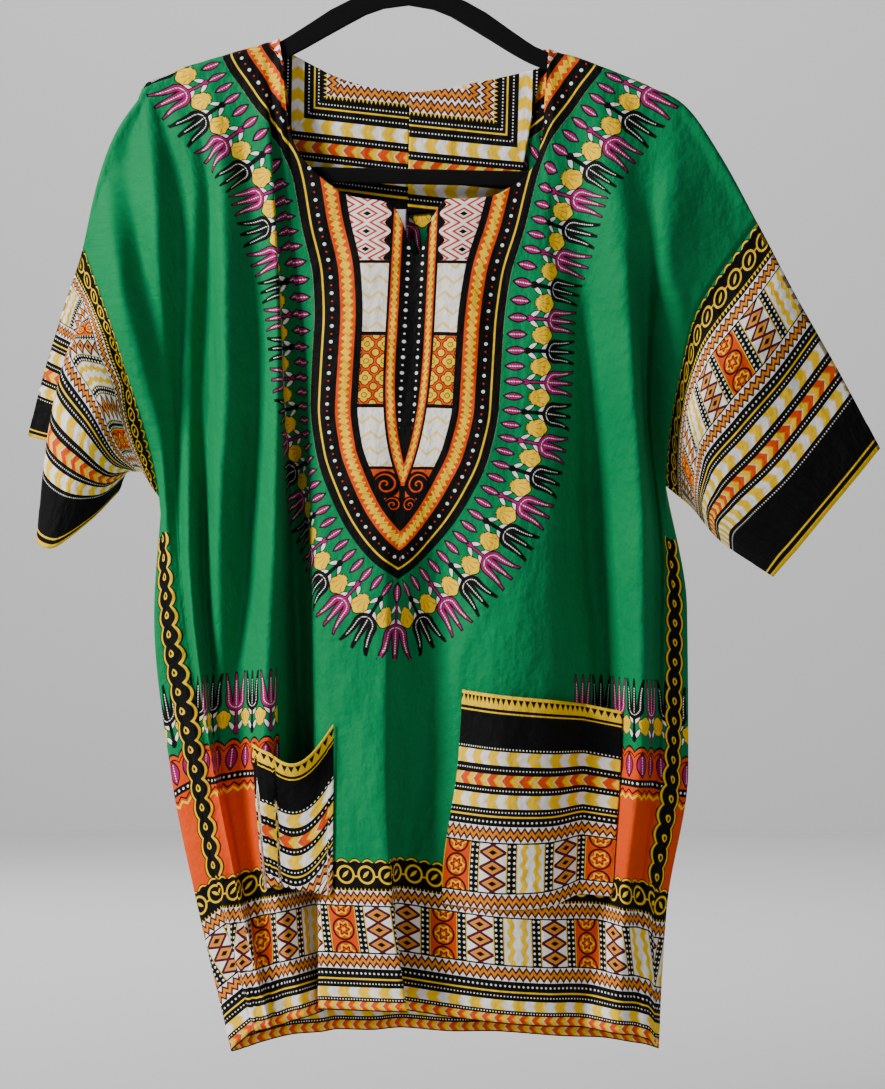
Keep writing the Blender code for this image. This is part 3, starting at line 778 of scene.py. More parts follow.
HEM_BANDS = (
    Band(Motif.PLAIN, -5.0, 1.0), Band(Motif.ARROWS, 1.0, 7.5, ORANGE, 0.7),
    Band(Motif.DOTS, 7.5, 11.0, BLACK, 0.7),
    Band(Motif.IKAT, 11.0, 19.0, WHITE), Band(Motif.DOTS, 19.0, 25.0, BLACK, 0.8),
    Band(Motif.PLAIN, 25.0, 26.4, YELLOW), Band(Motif.DOTS, 26.4, 34.0, BLACK, 1.1),
    Band(Motif.ZIGZAG, 34.0, 46.0), Band(Motif.CELLS, 46.0, 85.0), Band(Motif.ZIGZAG, 85.0, 96.5),
    Band(Motif.TEETH, 96.5, 99.5), Band(Motif.RINGS, 99.5, 119.0),
)
POCKET_BANDS = (
    Band(Motif.PLAIN, -5.0, 2.5, YELLOW), Band(Motif.TEETH, 2.5, 9.5, YELLOW, 1.4),
    Band(Motif.PLAIN, 9.5, 10.8, YELLOW),
    Band(Motif.PLAIN, 10.8, 13.0), Band(Motif.PLAIN, 13.0, 14.2, YELLOW), Band(Motif.PLAIN, 14.2, 38.5),
    Band(Motif.DOTS, 38.5, 42.5, BLACK, 0.8), Band(Motif.IKAT, 42.5, 53.0, WHITE),
    Band(Motif.DOTS, 53.0, 60.0, BLACK, 0.8), Band(Motif.ARROWS, 60.0, 69.0, ORANGE),
    Band(Motif.DOTS, 69.0, 75.0, BLACK, 0.8), Band(Motif.IKAT, 75.0, 85.5, WHITE),
    Band(Motif.DOTS, 85.5, 91.0, BLACK, 0.8), Band(Motif.PLAIN, 91.0, 92.4, YELLOW),
    Band(Motif.DOTS, 92.4, 99.0, BLACK, 1.1), Band(Motif.ZIGZAG, 99.0, 111.0),
    Band(Motif.CELLS, 111.0, 150.0), Band(Motif.ZIGZAG, 150.0, 161.5), Band(Motif.PLAIN, 161.5, 190.0),
)
SLEEVE_BANDS = (
    Band(Motif.RINGS, 3.0, 27.0), Band(Motif.TEETH, 27.0, 32.0), Band(Motif.ZIGZAG, 32.0, 45.0),
    Band(Motif.CELLS, 45.0, 92.0), Band(Motif.ZIGZAG, 92.0, 105.0),
    Band(Motif.DOTS, 105.0, 113.0, BLACK, 1.1),
    Band(Motif.PLAIN, 113.0, 114.6, YELLOW), Band(Motif.DOTS, 114.6, 121.0, BLACK, 0.8),
    Band(Motif.IKAT, 121.0, 132.5, WHITE), Band(Motif.DOTS, 132.5, 140.0, BLACK, 0.8),
    Band(Motif.ARROWS, 140.0, 151.0, ORANGE), Band(Motif.DOTS, 151.0, 158.0, BLACK, 0.8),
    Band(Motif.IKAT, 158.0, 170.0, WHITE), Band(Motif.DOTS, 170.0, 177.0, BLACK, 0.8),
    Band(Motif.PLAIN, 177.0, 208.5), Band(Motif.PLAIN, 208.5, 210.0, YELLOW),
    Band(Motif.PLAIN, 210.0, 213.5),
    Band(Motif.PLAIN, 213.5, 230.0, YELLOW),
)
FACING_BANDS = (
    Band(Motif.IKAT, -60.0, -15.0, WHITE), Band(Motif.ZIGZAG, -15.0, -4.0),
    Band(Motif.ZIGZAG, -4.0, 7.0), Band(Motif.TEETH, 7.0, 11.0), Band(Motif.DOTS, 11.0, 17.0, BLACK, 0.8),
    Band(Motif.PLAIN, 17.0, 18.4, YELLOW), Band(Motif.DOTS, 18.4, 27.0, BLACK, 0.8),
    Band(Motif.IKAT, 27.0, 38.0, WHITE), Band(Motif.DOTS, 38.0, 45.0, BLACK, 0.8),
    Band(Motif.ARROWS, 45.0, 54.0, ORANGE), Band(Motif.DOTS, 54.0, 61.0, BLACK, 0.8),
    Band(Motif.IKAT, 61.0, 72.0, WHITE), Band(Motif.DOTS, 72.0, 80.0, BLACK, 0.8),
    Band(Motif.PLAIN, 80.0, 82.0, YELLOW),
    Band(Motif.PLAIN, 82.0, 200.0),
)


class PrintRecipe(Recipe):
    """A cotton print: bands and motifs in the cut's own millimetres."""

    def mix_number(self, share: Value, under: Value, over: Value) -> Value:
        """Between two values by a share."""
        return self.math("MULTIPLY_ADD", share, over - under, under)

    def paint(self, under: Any, over: Any, mask: Value) -> Value:
        """Lay a colour on where a mask is."""
        return self.mix(mask, under, over)

    def rings(self, x: Value, y: Value, ground: Any, span: float) -> Value:
        """Yellow rings with a small leaf in each, on black.

        Args:
            x: Along the band.
            y: Off its middle.
            ground: The colour so far.
            span: The band's width.

        Returns:
            The colour with its rings.
        """
        period, radius = 17.6, min(6.6, span * 0.34)
        at = self.repeat(x, period)
        away = self.length(at, y)
        line = self.below(abs(away - radius), 0.85)
        leaf = self.leaf((at + y) * 0.7, (at - y) * 0.7 + 0.4, 3.9, 1.3)
        link = self.both(self.below(abs(y + radius * 0.2), 0.6), self.above(abs(at), radius))
        return self.paint(ground, YELLOW, self.either(line, leaf, link))

    def cells(self, x: Value, y: Value, span: float) -> Value:
        """Upright cells between dotted black strips.

        Args:
            x: Along the band.
            y: Off its middle.
            span: The band's width.

        Returns:
            The cells' colour.
        """
        period = 30.0
        at = self.repeat(x, period)
        number = self.number(x, period)
        odd = self.math("PINGPONG", number, 1.0)
        second = self.math("PINGPONG", self.math("FLOOR", number / 2), 1.0)
        net = abs(at) * 0.56 + abs(self.repeat(y, 11.8))
        knots = self.paint(WHITE, MAROON, self.below(abs(net - 5.8), 1.25))
        knots = self.paint(knots, OCHRE, self.below(net, 4.5))
        knots = self.paint(knots, BLACK, self.below(net, 2.0))
        wave = self.math("SINE", y * 0.62) * 1.7
        silk = self.paint(WHITE, YELLOW, self.below(abs(abs(at) + wave * 0.6 - 5.2), 2.3, 0.9))
        turn = self.math("ARCTAN2", at, self.repeat(y, 18.4))
        away = self.length(at, self.repeat(y, 18.4))
        petal = self.math("MULTIPLY_ADD", self.math("COSINE", turn * 6.0), 1.0, away)
        bloom = self.paint(ORANGE, BLACK, self.below(abs(away - 8.4), 0.7))
        bloom = self.paint(bloom, YELLOW, self.below(abs(petal - 5.4), 0.75))
        bloom = self.paint(bloom, BLACK, self.below(abs(petal - 3.4), 0.5))
        bloom = self.paint(bloom, YELLOW, self.below(away, 1.5))
        cell = self.paint(self.paint(silk, bloom, second), knots, odd)
        dots = self.disc(self.repeat(abs(at) - 13.0, 60.0), self.repeat(y, 4.2), 0.95)
        strip = self.paint(BLACK, WHITE, dots)
        strip = self.paint(strip, YELLOW, self.below(abs(abs(at) - 11.0), 0.35))
        cell = self.paint(cell, strip, self.above(abs(at), 10.6))
        return self.paint(cell, BLACK, self.above(abs(y), span / 2 - 1.2))

    def band(self, band: Band, x: Value, y: Value) -> Any:
        """One band's colours, y being measured from its middle.

        Args:
            band: The band.
            x: Along it.
            y: Off its middle.

        Returns:
            Its colour.
        """
        span, size = band.high - band.low, band.size
        match band.motif:
            case Motif.DOTS:
                spot = self.disc(self.repeat(x, 3.3 * size), y, 0.72 * size)
                return self.paint(band.ground, WHITE, spot)
            case Motif.RINGS:
                return self.rings(x, y, band.ground, span)
            case Motif.TEETH:
                tooth = abs(self.repeat(x, 3.4 * size)) * 2.6
                under = BLACK if band.ground is YELLOW else YELLOW
                return self.paint(band.ground, under, self.below(tooth + y, span * 0.25))
            case Motif.ZIGZAG:
                off = abs(self.zigzag(x, y, 5.6, 4.0))
                colour = self.paint(WHITE, MAROON, self.below(off, 4.2))
                return self.paint(colour, OCHRE, self.below(off, 1.7))
            case Motif.CELLS:
                return self.cells(x, y, span)
            case Motif.IKAT:
                phase = self.repeat(x - abs(y) * 0.6, 17.0)
                return self.paint(band.ground, YELLOW, self.between(phase, -5.4, 4.0, 2.4))
            case Motif.ARROWS:
                phase = self.repeat(x - abs(y) * 0.9, 14.0 * size)
                colour = self.paint(band.ground, YELLOW, self.between(phase, -4.2 * size, 2.2 * size, 2.4))
                return self.paint(colour, WHITE, self.between(phase, 1.4 * size, 2.6 * size, 0.8) * 0.6)
        return band.ground

    def bands(self, under: Any, bands: Sequence[Band], x: Value, y: Value) -> Any:
        """Lay bands on, each from its low to its high edge of y.

        Args:
            under: The colour so far.
            bands: The bands.
            x: Along them.
            y: Across them.

        Returns:
            The colour with its bands.
        """
        colour = under
        for band in bands:
            middle = (band.low + band.high) / 2
            local = y - middle
            mask = self.below(abs(local), (band.high - band.low) / 2, 0.3)
            colour = self.paint(colour, self.band(band, x, local), mask)
        return colour

    def scallops(self, under: Any, x: Value, y: Value, period: float = 11.0, height: float = 3.4) -> Value:
        """A black scalloped edge with a yellow line in it, black where y is below nothing.

        Args:
            under: The colour so far.
            x: Along the edge.
            y: Off it.
            period: The width of a scallop.
            height: Its depth.

        Returns:
            The colour with its edge.
        """
        arc = self.repeat(x, period)
        edge = self.math("MULTIPLY_ADD", arc * arc, 4 * height / period**2, y - height)
        colour = self.paint(under, BLACK, self.below(edge, 0.0))
        return self.paint(colour, YELLOW, self.below(abs(edge + 1.5), 0.65))

    def trident(self, x: Value, y: Value) -> tuple[Value, Value]:
        """An upright three-pronged sprig about 45 mm tall.

        Args:
            x: Off its middle.
            y: Up from its cup.

        Returns:
            The distance outside it, and the mask of its dotted lines.
        """
        rise = self.math("MAXIMUM", y, 0.0)
        flare = self.math("MULTIPLY_ADD", rise * rise, -0.006, -6.4)
        cup = abs(self.length(x, self.math("MINIMUM", y, 0.0)) + flare)
        prong = self.math("MINIMUM", cup, abs(x) + self.below(y, -5.0) * 9.0)
        taper = self.math("MULTIPLY_ADD", rise, -0.105, 2.5)
        head = self.math("MAXIMUM", prong - taper, (y - 20.5) * 0.7)
        bar = self.math("MAXIMUM", abs(x) - 0.75, abs(y + 15.0) - 10.0)
        bud = self.length(x / 0.8, y + 24.5) - 2.5
        line = self.below(prong, 0.36) * self.below(y, 15.0) * self.disc_rows(x, y)
        return self.math("MINIMUM", head, self.math("MINIMUM", bar, bud)), line

    def disc_rows(self, x: Value, y: Value) -> Value:
        """Breaks a line into dots."""
        return self.below(abs(self.repeat(x * 0.7 + y, 2.0)), 0.62)

    def sprigs(self, under: Any, x: Value, y: Value, period: float, shift: float) -> Value:
        """A row of tridents, every second one black, with white leaves at their stems.

        Args:
            under: The colour so far.
            x: Along the row.
            y: Up from the cups.
            period: The spacing.
            shift: Where the first one is.

        Returns:
            The colour with its sprigs.
        """
        at = self.repeat(x, period, shift)
        odd = self.odd(x, period, shift)
        outside, core = self.trident(at, y)
        side = abs(at) - 3.6
        colour = under
        for middle in (-21.0, -9.5):
            low = y - middle
            along, off = side * 0.55 + low * 0.83, side * 0.83 - low * 0.55
            colour = self.paint(colour, BLACK, self.leaf(along, off, 5.4, 2.2))
            colour = self.paint(colour, WHITE, self.leaf(along, off, 4.5, 1.45))
        colour = self.paint(colour, BLACK, self.below(outside, 0.85))
        colour = self.paint(colour, self.mix(odd, MAGENTA, BLACK), self.below(outside, 0.0))
        return self.paint(colour, WHITE, core)

    def blossoms(self, under: Any, x: Value, y: Value, period: float, shift: float,
                 size: float = 1.0) -> Value:
        """A row of yellow blossoms that open outward.

        Args:
            under: The colour so far.
            x: Along the row.
            y: Off its middle.
            period: The spacing.
            shift: Where the first one is.
            size: 1 for the chain's size.

        Returns:
            The colour with its blossoms.
        """
        at = self.repeat(x, period, shift)
        spread = self.math("MULTIPLY_ADD", y, 0.022 / size, 1.0)
        turn = self.math("ARCTAN2", at, y + 7.5 * size)
        away = self.length(at / spread, y * 0.84)
        rim = self.math("MULTIPLY_ADD", self.math("COSINE", turn * 11.0), -0.5 * size, away)
        colour = self.paint(under, BLACK, self.below(rim, 7.9 * size))
        colour = self.paint(colour, YELLOW, self.below(rim, 7.1 * size))
        rays = self.above(self.math("COSINE", turn * 15.0), 0.82, 0.3)
        veins = self.both(rays, self.between(y, -5.0 * size, 4.4 * size))
        return self.paint(colour, VEIN, veins * self.below(away, 6.4 * size))

    def seeds(self, under: Any, x: Value, y: Value, period: float, long: float, wide: float = 2.6) -> Value:
        """A row of magenta seeds with a dotted line down each.

        Args:
            under: The colour so far.
            x: Along the row.
            y: Off its middle.
            period: The spacing.
            long: Half a seed's length.
            wide: Half its width.

        Returns:
            The colour with its seeds.
        """
        at = self.repeat(x, period)
        colour = self.paint(under, BLACK, self.leaf(y, at, long + 1.6, wide + 1.1))
        colour = self.paint(colour, MAGENTA, self.leaf(y, at, long, wide))
        line = self.both(self.below(abs(at), 0.38), self.disc_rows(at, y), self.below(abs(y), long - 1.6))
        return self.paint(colour, WHITE, line)

    def worn(self, colour: Any, where: Value) -> Value:
        """Uneven dye, as wax prints have.

        Args:
            colour: The print.
            where: The place on the cut.

        Returns:
            The colour, a little lighter and darker.
        """
        broad = self.noise(where, 0.012, 3.0)
        fine = self.noise(where, 0.9, 2.0)
        tone = self.math("MULTIPLY_ADD", broad - 0.5, 0.34, 1.0) + (fine - 0.5) * 0.22
        shade = self.node("ShaderNodeVectorMath", {"operation": "SCALE"}, _0=colour)
        self.feed(shade.inputs["Scale"], tone)
        return Value(self, shade.outputs[0])

    def cloth(self, colour: Any, u: Value, v: Value, seams: Optional[Value] = None) -> bpy.types.Material:
        """Finish a print as matt cotton, with its weave, small creases and stitching.

        Args:
            colour: The print.
            u: Across the cut.
            v: Down the cut.
            seams: Where stitching pulls the cloth in, or nothing.

        Returns:
            The material.
        """
        where = self.vector(u, v)
        crumple = self.noise(self.vector(u, v * 0.45), 0.035, 4.0) * 2.2 + self.noise(where, 0.12, 3.0) * 0.5
        weave = self.math("SINE", u * 8.0) * self.math("SINE", v * 8.0)
        height = crumple + weave * 0.012
        if seams is not None:
            height = height - seams * 0.35
        self.shader.inputs["Sheen Weight"].default_value = 0.02
        self.shader.inputs["Sheen Roughness"].default_value = 0.5
        self.shader.inputs["Specular IOR Level"].default_value = 0.1
        rough = self.math("MULTIPLY_ADD", self.noise(where, 0.08, 2.0), 0.16, 0.6)
        return self.finish(self.worn(colour, where), self.bump(height, 0.85, 0.0034), rough)


# The chain round the yoke: the spacing of its sprigs and seeds, and how far outside the yoke each lies.
CHAIN_STEP = 24.6
SEED_STEP = 12.3
SEEDS_OUT = 11.0
BLOSSOMS_OUT = 32.0
SPRIGS_OUT = 45.0


class Prints:
    """The printed cotton's finishes."""

    def yoke(self, recipe: PrintRecipe, colour: Any, u: Value, v: Value, out: Value) -> Value:
        """The printed yoke inside its outline: the panels either side of the slit.

        Args:
            recipe: The material.
            colour: The print so far.
            u: Across the cut.
            v: Down the cut.
            out: How far outside the outline.

        Returns:
            The print with its yoke.
        """
        side = abs(u)
        drops = recipe.leaf(recipe.repeat(side + v * 0.4, 9.5), recipe.repeat(v - side * 0.4, 7.5), 3.6, 1.9)
        panel = recipe.paint(ORANGE, BLACK, recipe.below(abs(recipe.repeat(v * 0.8 + side, 12.0)), 0.5))
        panel = recipe.paint(panel, WHITE, drops)
        net = abs(side - 38.0) * 0.58 + abs(recipe.repeat(v - 108.0, 14.4))
        lattice = recipe.paint(WHITE, RED, recipe.between(recipe.repeat(net - 4.4, 4.6), -0.95, 0.75))
        lattice = recipe.paint(lattice, BLACK, recipe.below(net, 2.0))
        jag = side - abs(recipe.repeat(v - 108.0, 14.4)) * 0.8
        lattice = recipe.paint(lattice, BLACK, recipe.below(jag, 18.5))
        panel = recipe.paint(panel, lattice, recipe.between(v, 60.0, 174.5))
        vee = recipe.repeat(v + abs(recipe.repeat(side - 26.0, 14.0)) * -0.8, 12.5)
        chevron = recipe.paint(WHITE, YELLOW, recipe.between(vee, -1.5, 1.0, 0.8) * 0.75)
        panel = recipe.paint(panel, chevron, recipe.between(v, 177.0, 232.0))
        ax, ay = abs(recipe.repeat(side - 32.6, 13.6)), abs(recipe.repeat(v - 242.0, 13.6))
        far, near = recipe.math("MAXIMUM", ax, ay), recipe.math("MINIMUM", ax, ay)
        lobes = recipe.length(far - 2.7, near) - 2.7
        knot = recipe.length(ax - 6.8, ay - 6.8)
        foil = recipe.paint(ORANGE, MAROON, recipe.either(recipe.below(lobes, 0.8), recipe.below(knot, 3.4)))
        foil = recipe.paint(foil, YELLOW, recipe.either(recipe.below(lobes, 0.0), recipe.below(knot, 2.6)))
        foil = recipe.paint(foil, MAROON, recipe.below(abs(recipe.length(ax, ay) - 1.9), 0.3))
        panel = recipe.paint(panel, foil, recipe.between(v, 235.0, 290.0))
        panel = recipe.paint(panel, chevron, recipe.between(v, 293.0, 340.0))
        panel = recipe.paint(panel, self.scrolls(recipe, side, v), recipe.above(v, 342.0))
        gaps = recipe.either(recipe.between(v, 174.5, 177.0), recipe.between(v, 232.0, 235.0),
                             recipe.between(v, 290.0, 293.0), recipe.between(v, 340.0, 342.4))
        panel = recipe.paint(panel, BLACK, gaps)
        late = recipe.math("MAXIMUM", (v - 230.0) / 108.0, 0.0)
        strip = recipe.math("MULTIPLY_ADD", late * late * late, 10.6, side)
        above = recipe.above(v, 98.0)
        ground = recipe.both(recipe.below(strip, 19.2), recipe.below(v, 350.0), above)
        trim = recipe.paint(panel, BLACK, ground)
        braid = self.braid(recipe, v, strip - 13.9, 3.3)
        band = recipe.both(recipe.between(strip, 10.6, 17.2), recipe.below(v, 352.0), above)
        trim = recipe.paint(trim, braid, band)
        spots = self.spots(recipe, v, side - 5.6)
        trim = recipe.paint(trim, WHITE, recipe.both(spots, recipe.below(strip, 9.0), recipe.below(v, 322.0)))
        return recipe.paint(colour, trim, recipe.below(out, 0.0))

    def scrolls(self, recipe: PrintRecipe, side: Value, v: Value) -> Value:
        """The yoke's lowest panel: two pairs of black scrolls on orange, over a fine vee.

        Args:
            recipe: The material.
            side: Off the centre line.
            v: Down the cut.

        Returns:
            The panel's colour.
        """
        patch = recipe.paint(ORANGE, BLACK, recipe.both(recipe.below(side, 2.4), recipe.above(v, 355.0)))
        patch = recipe.paint(patch, BLACK, recipe.above(v + side * 0.5, 377.0))
        for across, down, size in ((12.4, 354.6, 10.9), (6.4, 370.6, 7.0)):
            curl = recipe.length(side - across, v - down)
            spin = recipe.math("ARCTAN2", side - across, v - down) * 0.159
            line = recipe.below(abs(recipe.repeat(curl / (size * 0.5) + spin, 1.0)), 0.12, 0.06)
            patch = recipe.paint(patch, BLACK, recipe.below(curl, size))
            patch = recipe.paint(patch, ORANGE, recipe.both(line, recipe.below(curl, size * 0.8)))
        vee = recipe.both(recipe.below(abs(v + side * 1.3 - 386.0), 0.5), recipe.below(side, 6.0))
        return recipe.paint(patch, ORANGE, vee * 0.6)

    def braid(self, recipe: PrintRecipe, run: Value, off: Value, half: float) -> Value:
        """An orange band with a beaded yellow line down it.

        Args:
            recipe: The material.
            run: Along the band.
            off: Off its middle.
            half: Half its width.

        Returns:
            The band's colour.
        """
        bead = recipe.math("MULTIPLY_ADD", recipe.math("SINE", run * 1.15), -0.22 * half, abs(off))
        colour = recipe.paint(ORANGE, YELLOW, recipe.below(bead, 0.5 * half))
        weft = recipe.below(abs(recipe.repeat(run + off * 0.8, 11.0)), 0.5)
        return recipe.paint(colour, ORANGE, weft * 0.7)

    def spots(self, recipe: PrintRecipe, run: Value, off: Value) -> Value:
        """A row of spots, every second one small."""
        size = recipe.math("MULTIPLY_ADD", recipe.odd(run, 6.3), -0.6, 1.35)
        return recipe.below(recipe.length(recipe.repeat(run, 6.3), off) - size, 0.0)

    def yoke_borders(self, recipe: PrintRecipe, colour: Any, run: Value, out: Value) -> Value:
        """The bands that follow the yoke's outline.

        Args:
            recipe: The material.
            colour: The print so far.
            run: Along the outline.
            out: How far outside it.

        Returns:
            The print with its borders.
        """
        edge = recipe.paint(colour, BLACK, recipe.between(out, -37.0, 0.0))
        plait = self.braid(recipe, run, out + 25.5, 5.9)
        edge = recipe.paint(edge, plait, recipe.between(out, -31.4, -19.6))
        ink = recipe.mix(recipe.odd(run, 6.3), WHITE, RED)
        edge = recipe.paint(edge, ink, self.spots(recipe, run, out + 13.4))
        return recipe.paint(edge, YELLOW, recipe.between(out, -7.7, -6.3))

    def selvedge(self, recipe: PrintRecipe, colour: Any, v: Value, edge: Value) -> Value:
        """The black scalloped border down the side seams."""
        arcs = recipe.scallops(colour, v, edge - 6.0, 15.0, 2.2)
        loops = recipe.below(abs(recipe.length(recipe.repeat(v, 15.0), edge + 1.0) - 2.6), 0.6)
        return recipe.paint(arcs, YELLOW, loops)

    def upper(self, name: str) -> bpy.types.Material:
        """The upper part of a panel: the yoke and the chain of sprigs round it."""
        recipe = PrintRecipe(name)
        u, v, _ = recipe.attribute("cut")
        run, out, edge = recipe.attribute("neck")
        chain, _, _ = recipe.attribute("chain")
        colour = recipe.blossoms(GREEN, chain, out - BLOSSOMS_OUT, CHAIN_STEP, CHAIN_STEP / 2, 0.98)
        colour = recipe.sprigs(colour, chain, out - SPRIGS_OUT, CHAIN_STEP, 0.0)
        single = recipe.seeds(colour, u, out - SEEDS_OUT, 400.0, 7.4)
        row = recipe.seeds(colour, chain, out - SEEDS_OUT, SEED_STEP, 7.4)
        colour = recipe.mix(recipe.above(abs(chain), SEED_STEP * 1.5), single, row)
        colour = self.yoke_borders(recipe, self.yoke(recipe, colour, u, v, out), run, out)
        colour = recipe.mix(recipe.above(v, 385.0), colour, self.selvedge(recipe, colour, v, edge))
        return recipe.cloth(colour, u, v)

    def lower(self, name: str) -> bpy.types.Material:
        """The lower part of a panel: the side blocks and the hem's border."""
        recipe = PrintRecipe(name)
        u, v, height = recipe.attribute("cut")
        _, _, edge = recipe.attribute("neck")
        side = abs(u)
        colour = recipe.blossoms(GREEN, side, height - 240.0, 21.9, 10.95, 0.8)
        colour = recipe.sprigs(colour, side, height - 255.0, 21.9, 0.0)
        colour = recipe.mix(recipe.above(side, 165.0), GREEN, colour)
        arc = recipe.repeat(side, 13.8)
        top = recipe.math("MULTIPLY_ADD", arc * arc, 0.09, height - 223.0)
        fill = recipe.seeds(ORANGE, side, height - 209.5, 13.8, 8.6, 4.2)
        fill = recipe.paint(fill, BLACK, recipe.below(abs(top + 3.4), 0.5))
        fill = recipe.paint(fill, BLACK, recipe.between(height, 192.5, 198.5))
        fill = recipe.paint(fill, WHITE, recipe.disc(recipe.repeat(side, 4.6), height - 195.5, 1.0))
        wave = abs(recipe.repeat(side, 9.2)) * -0.7 + height
        fill = recipe.paint(fill, BLACK, recipe.below(abs(wave - 187.4), 0.7))
        fill = recipe.paint(fill, YELLOW, recipe.below(abs(wave - 183.6), 1.1))
        colour = recipe.paint(colour, BLACK, recipe.both(recipe.below(top, 1.6), recipe.above(side, 161.4)))
        colour = recipe.paint(colour, fill, recipe.both(recipe.below(top, 0.0), recipe.above(side, 163.0)))
        colour = self.selvedge(recipe, colour, v, edge)
        colour = recipe.scallops(colour, u, height - 119.0)
        colour = recipe.bands(colour, HEM_BANDS, u, height)
        gaps = recipe.below(abs(recipe.repeat(u, 3.2)), 1.1)
        stitch = recipe.both(recipe.below(abs(height - 22.0), 0.6), gaps)
        return recipe.cloth(colour, u, v, stitch)

    def sleeve(self) -> bpy.types.Material:
        """The sleeves' border print."""
        recipe = PrintRecipe("sleeve_print")
        around, along, _ = recipe.attribute("cut")
        colour = recipe.scallops(GREEN, around, 3.0 - along)
        colour = recipe.paint(colour, BLACK, recipe.above(along, 4.0))
        colour = recipe.bands(colour, SLEEVE_BANDS, around, along)
        return recipe.cloth(colour, around, along)

    def pocket(self) -> bpy.types.Material:
        """The pockets' border print."""
        recipe = PrintRecipe("pocket_print")
        u, depth, _ = recipe.attribute("cut")
        return recipe.cloth(recipe.bands(BLACK, POCKET_BANDS, u, depth), u, depth)

    def facing(self) -> bpy.types.Material:
        """The neck facing's print."""
        recipe = PrintRecipe("facing_print")
        u, depth, _ = recipe.attribute("cut")
        side, low = abs(u), depth - 26.0
        frame = recipe.math("MAXIMUM", low, side - 61.0)
        along = recipe.mix_number(recipe.below(side - low, 61.0), depth, u)
        return recipe.cloth(recipe.bands(BLACK, FACING_BANDS, along, frame), u, depth)

    def tape(self) -> bpy.types.Material:
        """The bare tag's white tape."""
        recipe = PrintRecipe("tag_tape")
        u, depth, _ = recipe.attribute("cut")
        return recipe.cloth(TAPE, u, depth)


def dress_hanger(frame: dict[str, Any]) -> None:
    """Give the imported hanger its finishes: black flock, and a polished wire hook.
    """
    flock = Recipe("black_flock", 0.95)
    flock.shader.inputs["Sheen Weight"].default_value = 0.02
    flock.shader.inputs["Specular IOR Level"].default_value = 0.12
    flock.shader.inputs["Sheen Roughness"].default_value = 0.6
    fuzz = flock.noise(flock.place(), 1400.0, 2.0)
    shade = flock.mix(fuzz, (0.001, 0.001, 0.001), (0.006, 0.006, 0.006))
    flock.finish(shade, flock.bump(fuzz, 0.5, 0.0004))
    wire = Recipe("polished_wire", 0.25)
    wire.shader.inputs["Metallic"].default_value = 1.0
    grain = wire.noise(wire.place(), 300.0, 3.0)
    wire.finish(wire.mix(grain, (0.5, 0.5, 0.5), (0.66, 0.66, 0.65)), None, grain * 0.2 + 0.16)
    for node, finish in (("hanger_body", flock), ("hanger_hook", wire)):
        for slot in frame["nodes"][node].material_slots:
            slot.material = finish.material


FRONT_CREASES = (
    Crease(-205, 300, 60, -8, 2.2, 9), Crease(-150, 210, 50, 20, 1.8, 9), Crease(-120, 480, 90, -6, 1.6, 8),
    Crease(-186, 560, 70, 8, -1.6, 7), Crease(-172, 640, 60, 14, 1.5, 7), Crease(-70, 560, 80, -7, 1.5, 8),
    Crease(-30, 640, 90, 5, -1.4, 8), Crease(40, 600, 70, -22, 1.6, 8), Crease(62, 560, 80, -16, -1.3, 7),
    Crease(90, 470, 80, -10, 1.4, 8), Crease(172, 250, 55, 24, 2.0, 9), Crease(205, 300, 50, 12, 1.6, 7),
    Crease(150, 560, 80, 4, -1.5, 7), Crease(186, 600, 70, -6, 1.6, 6), Crease(-50, 760, 70, -5, 1.6, 7),
    Crease(20, 790, 60, 9, 1.4, 7), Crease(60, 720, 60, -12, 1.2, 8), Crease(110, 800, 60, 6, 1.2, 7),
    Crease(-100, 820, 60, -14, 1.5, 7), Crease(130, 390, 70, 6, 1.2, 7), Crease(-185, 760, 60, 5, 1.4, 6),
)
BACK_CREASES = (
    Crease(-170, 260, 70, 18, 2.0, 10), Crease(-120, 420, 90, -6, 1.7, 9), Crease(-60, 330, 80, 9, 1.4, 9),
    Crease(-20, 520, 100, -4, -1.5, 9), Crease(60, 430, 90, 7, 1.6, 9), Crease(140, 300, 70, -16, 1.9, 10),
    Crease(180, 460, 80, 5, -1.6, 9), Crease(100, 640, 90, -8, 1.5, 9), Crease(-90, 700, 80, 6, 1.4, 9),
    Crease(30, 740, 80, -7, 1.3, 9), Crease(150, 760, 70, 8, 1.4, 8), Crease(-150, 600, 80, -10, 1.5, 8),
)
# The printed yoke's outer outline on the cut: from the centre line, and down from the shoulder.
YOKE = (
    (158, -30), (158, 0), (134, 45), (115, 72), (99, 98), (87, 150), (77, 190), (74, 230), (74, 290),
    (68, 330), (56, 362), (40, 392), (18, 418), (0, 430),
)
# How far outside the yoke the chain of sprigs is evenly spaced.
CHAIN_OUT = 40.0
BACK_YOKE = ((158, -30), (158, 0), (140, 34), (112, 62), (80, 84), (40, 98), (0, 104))


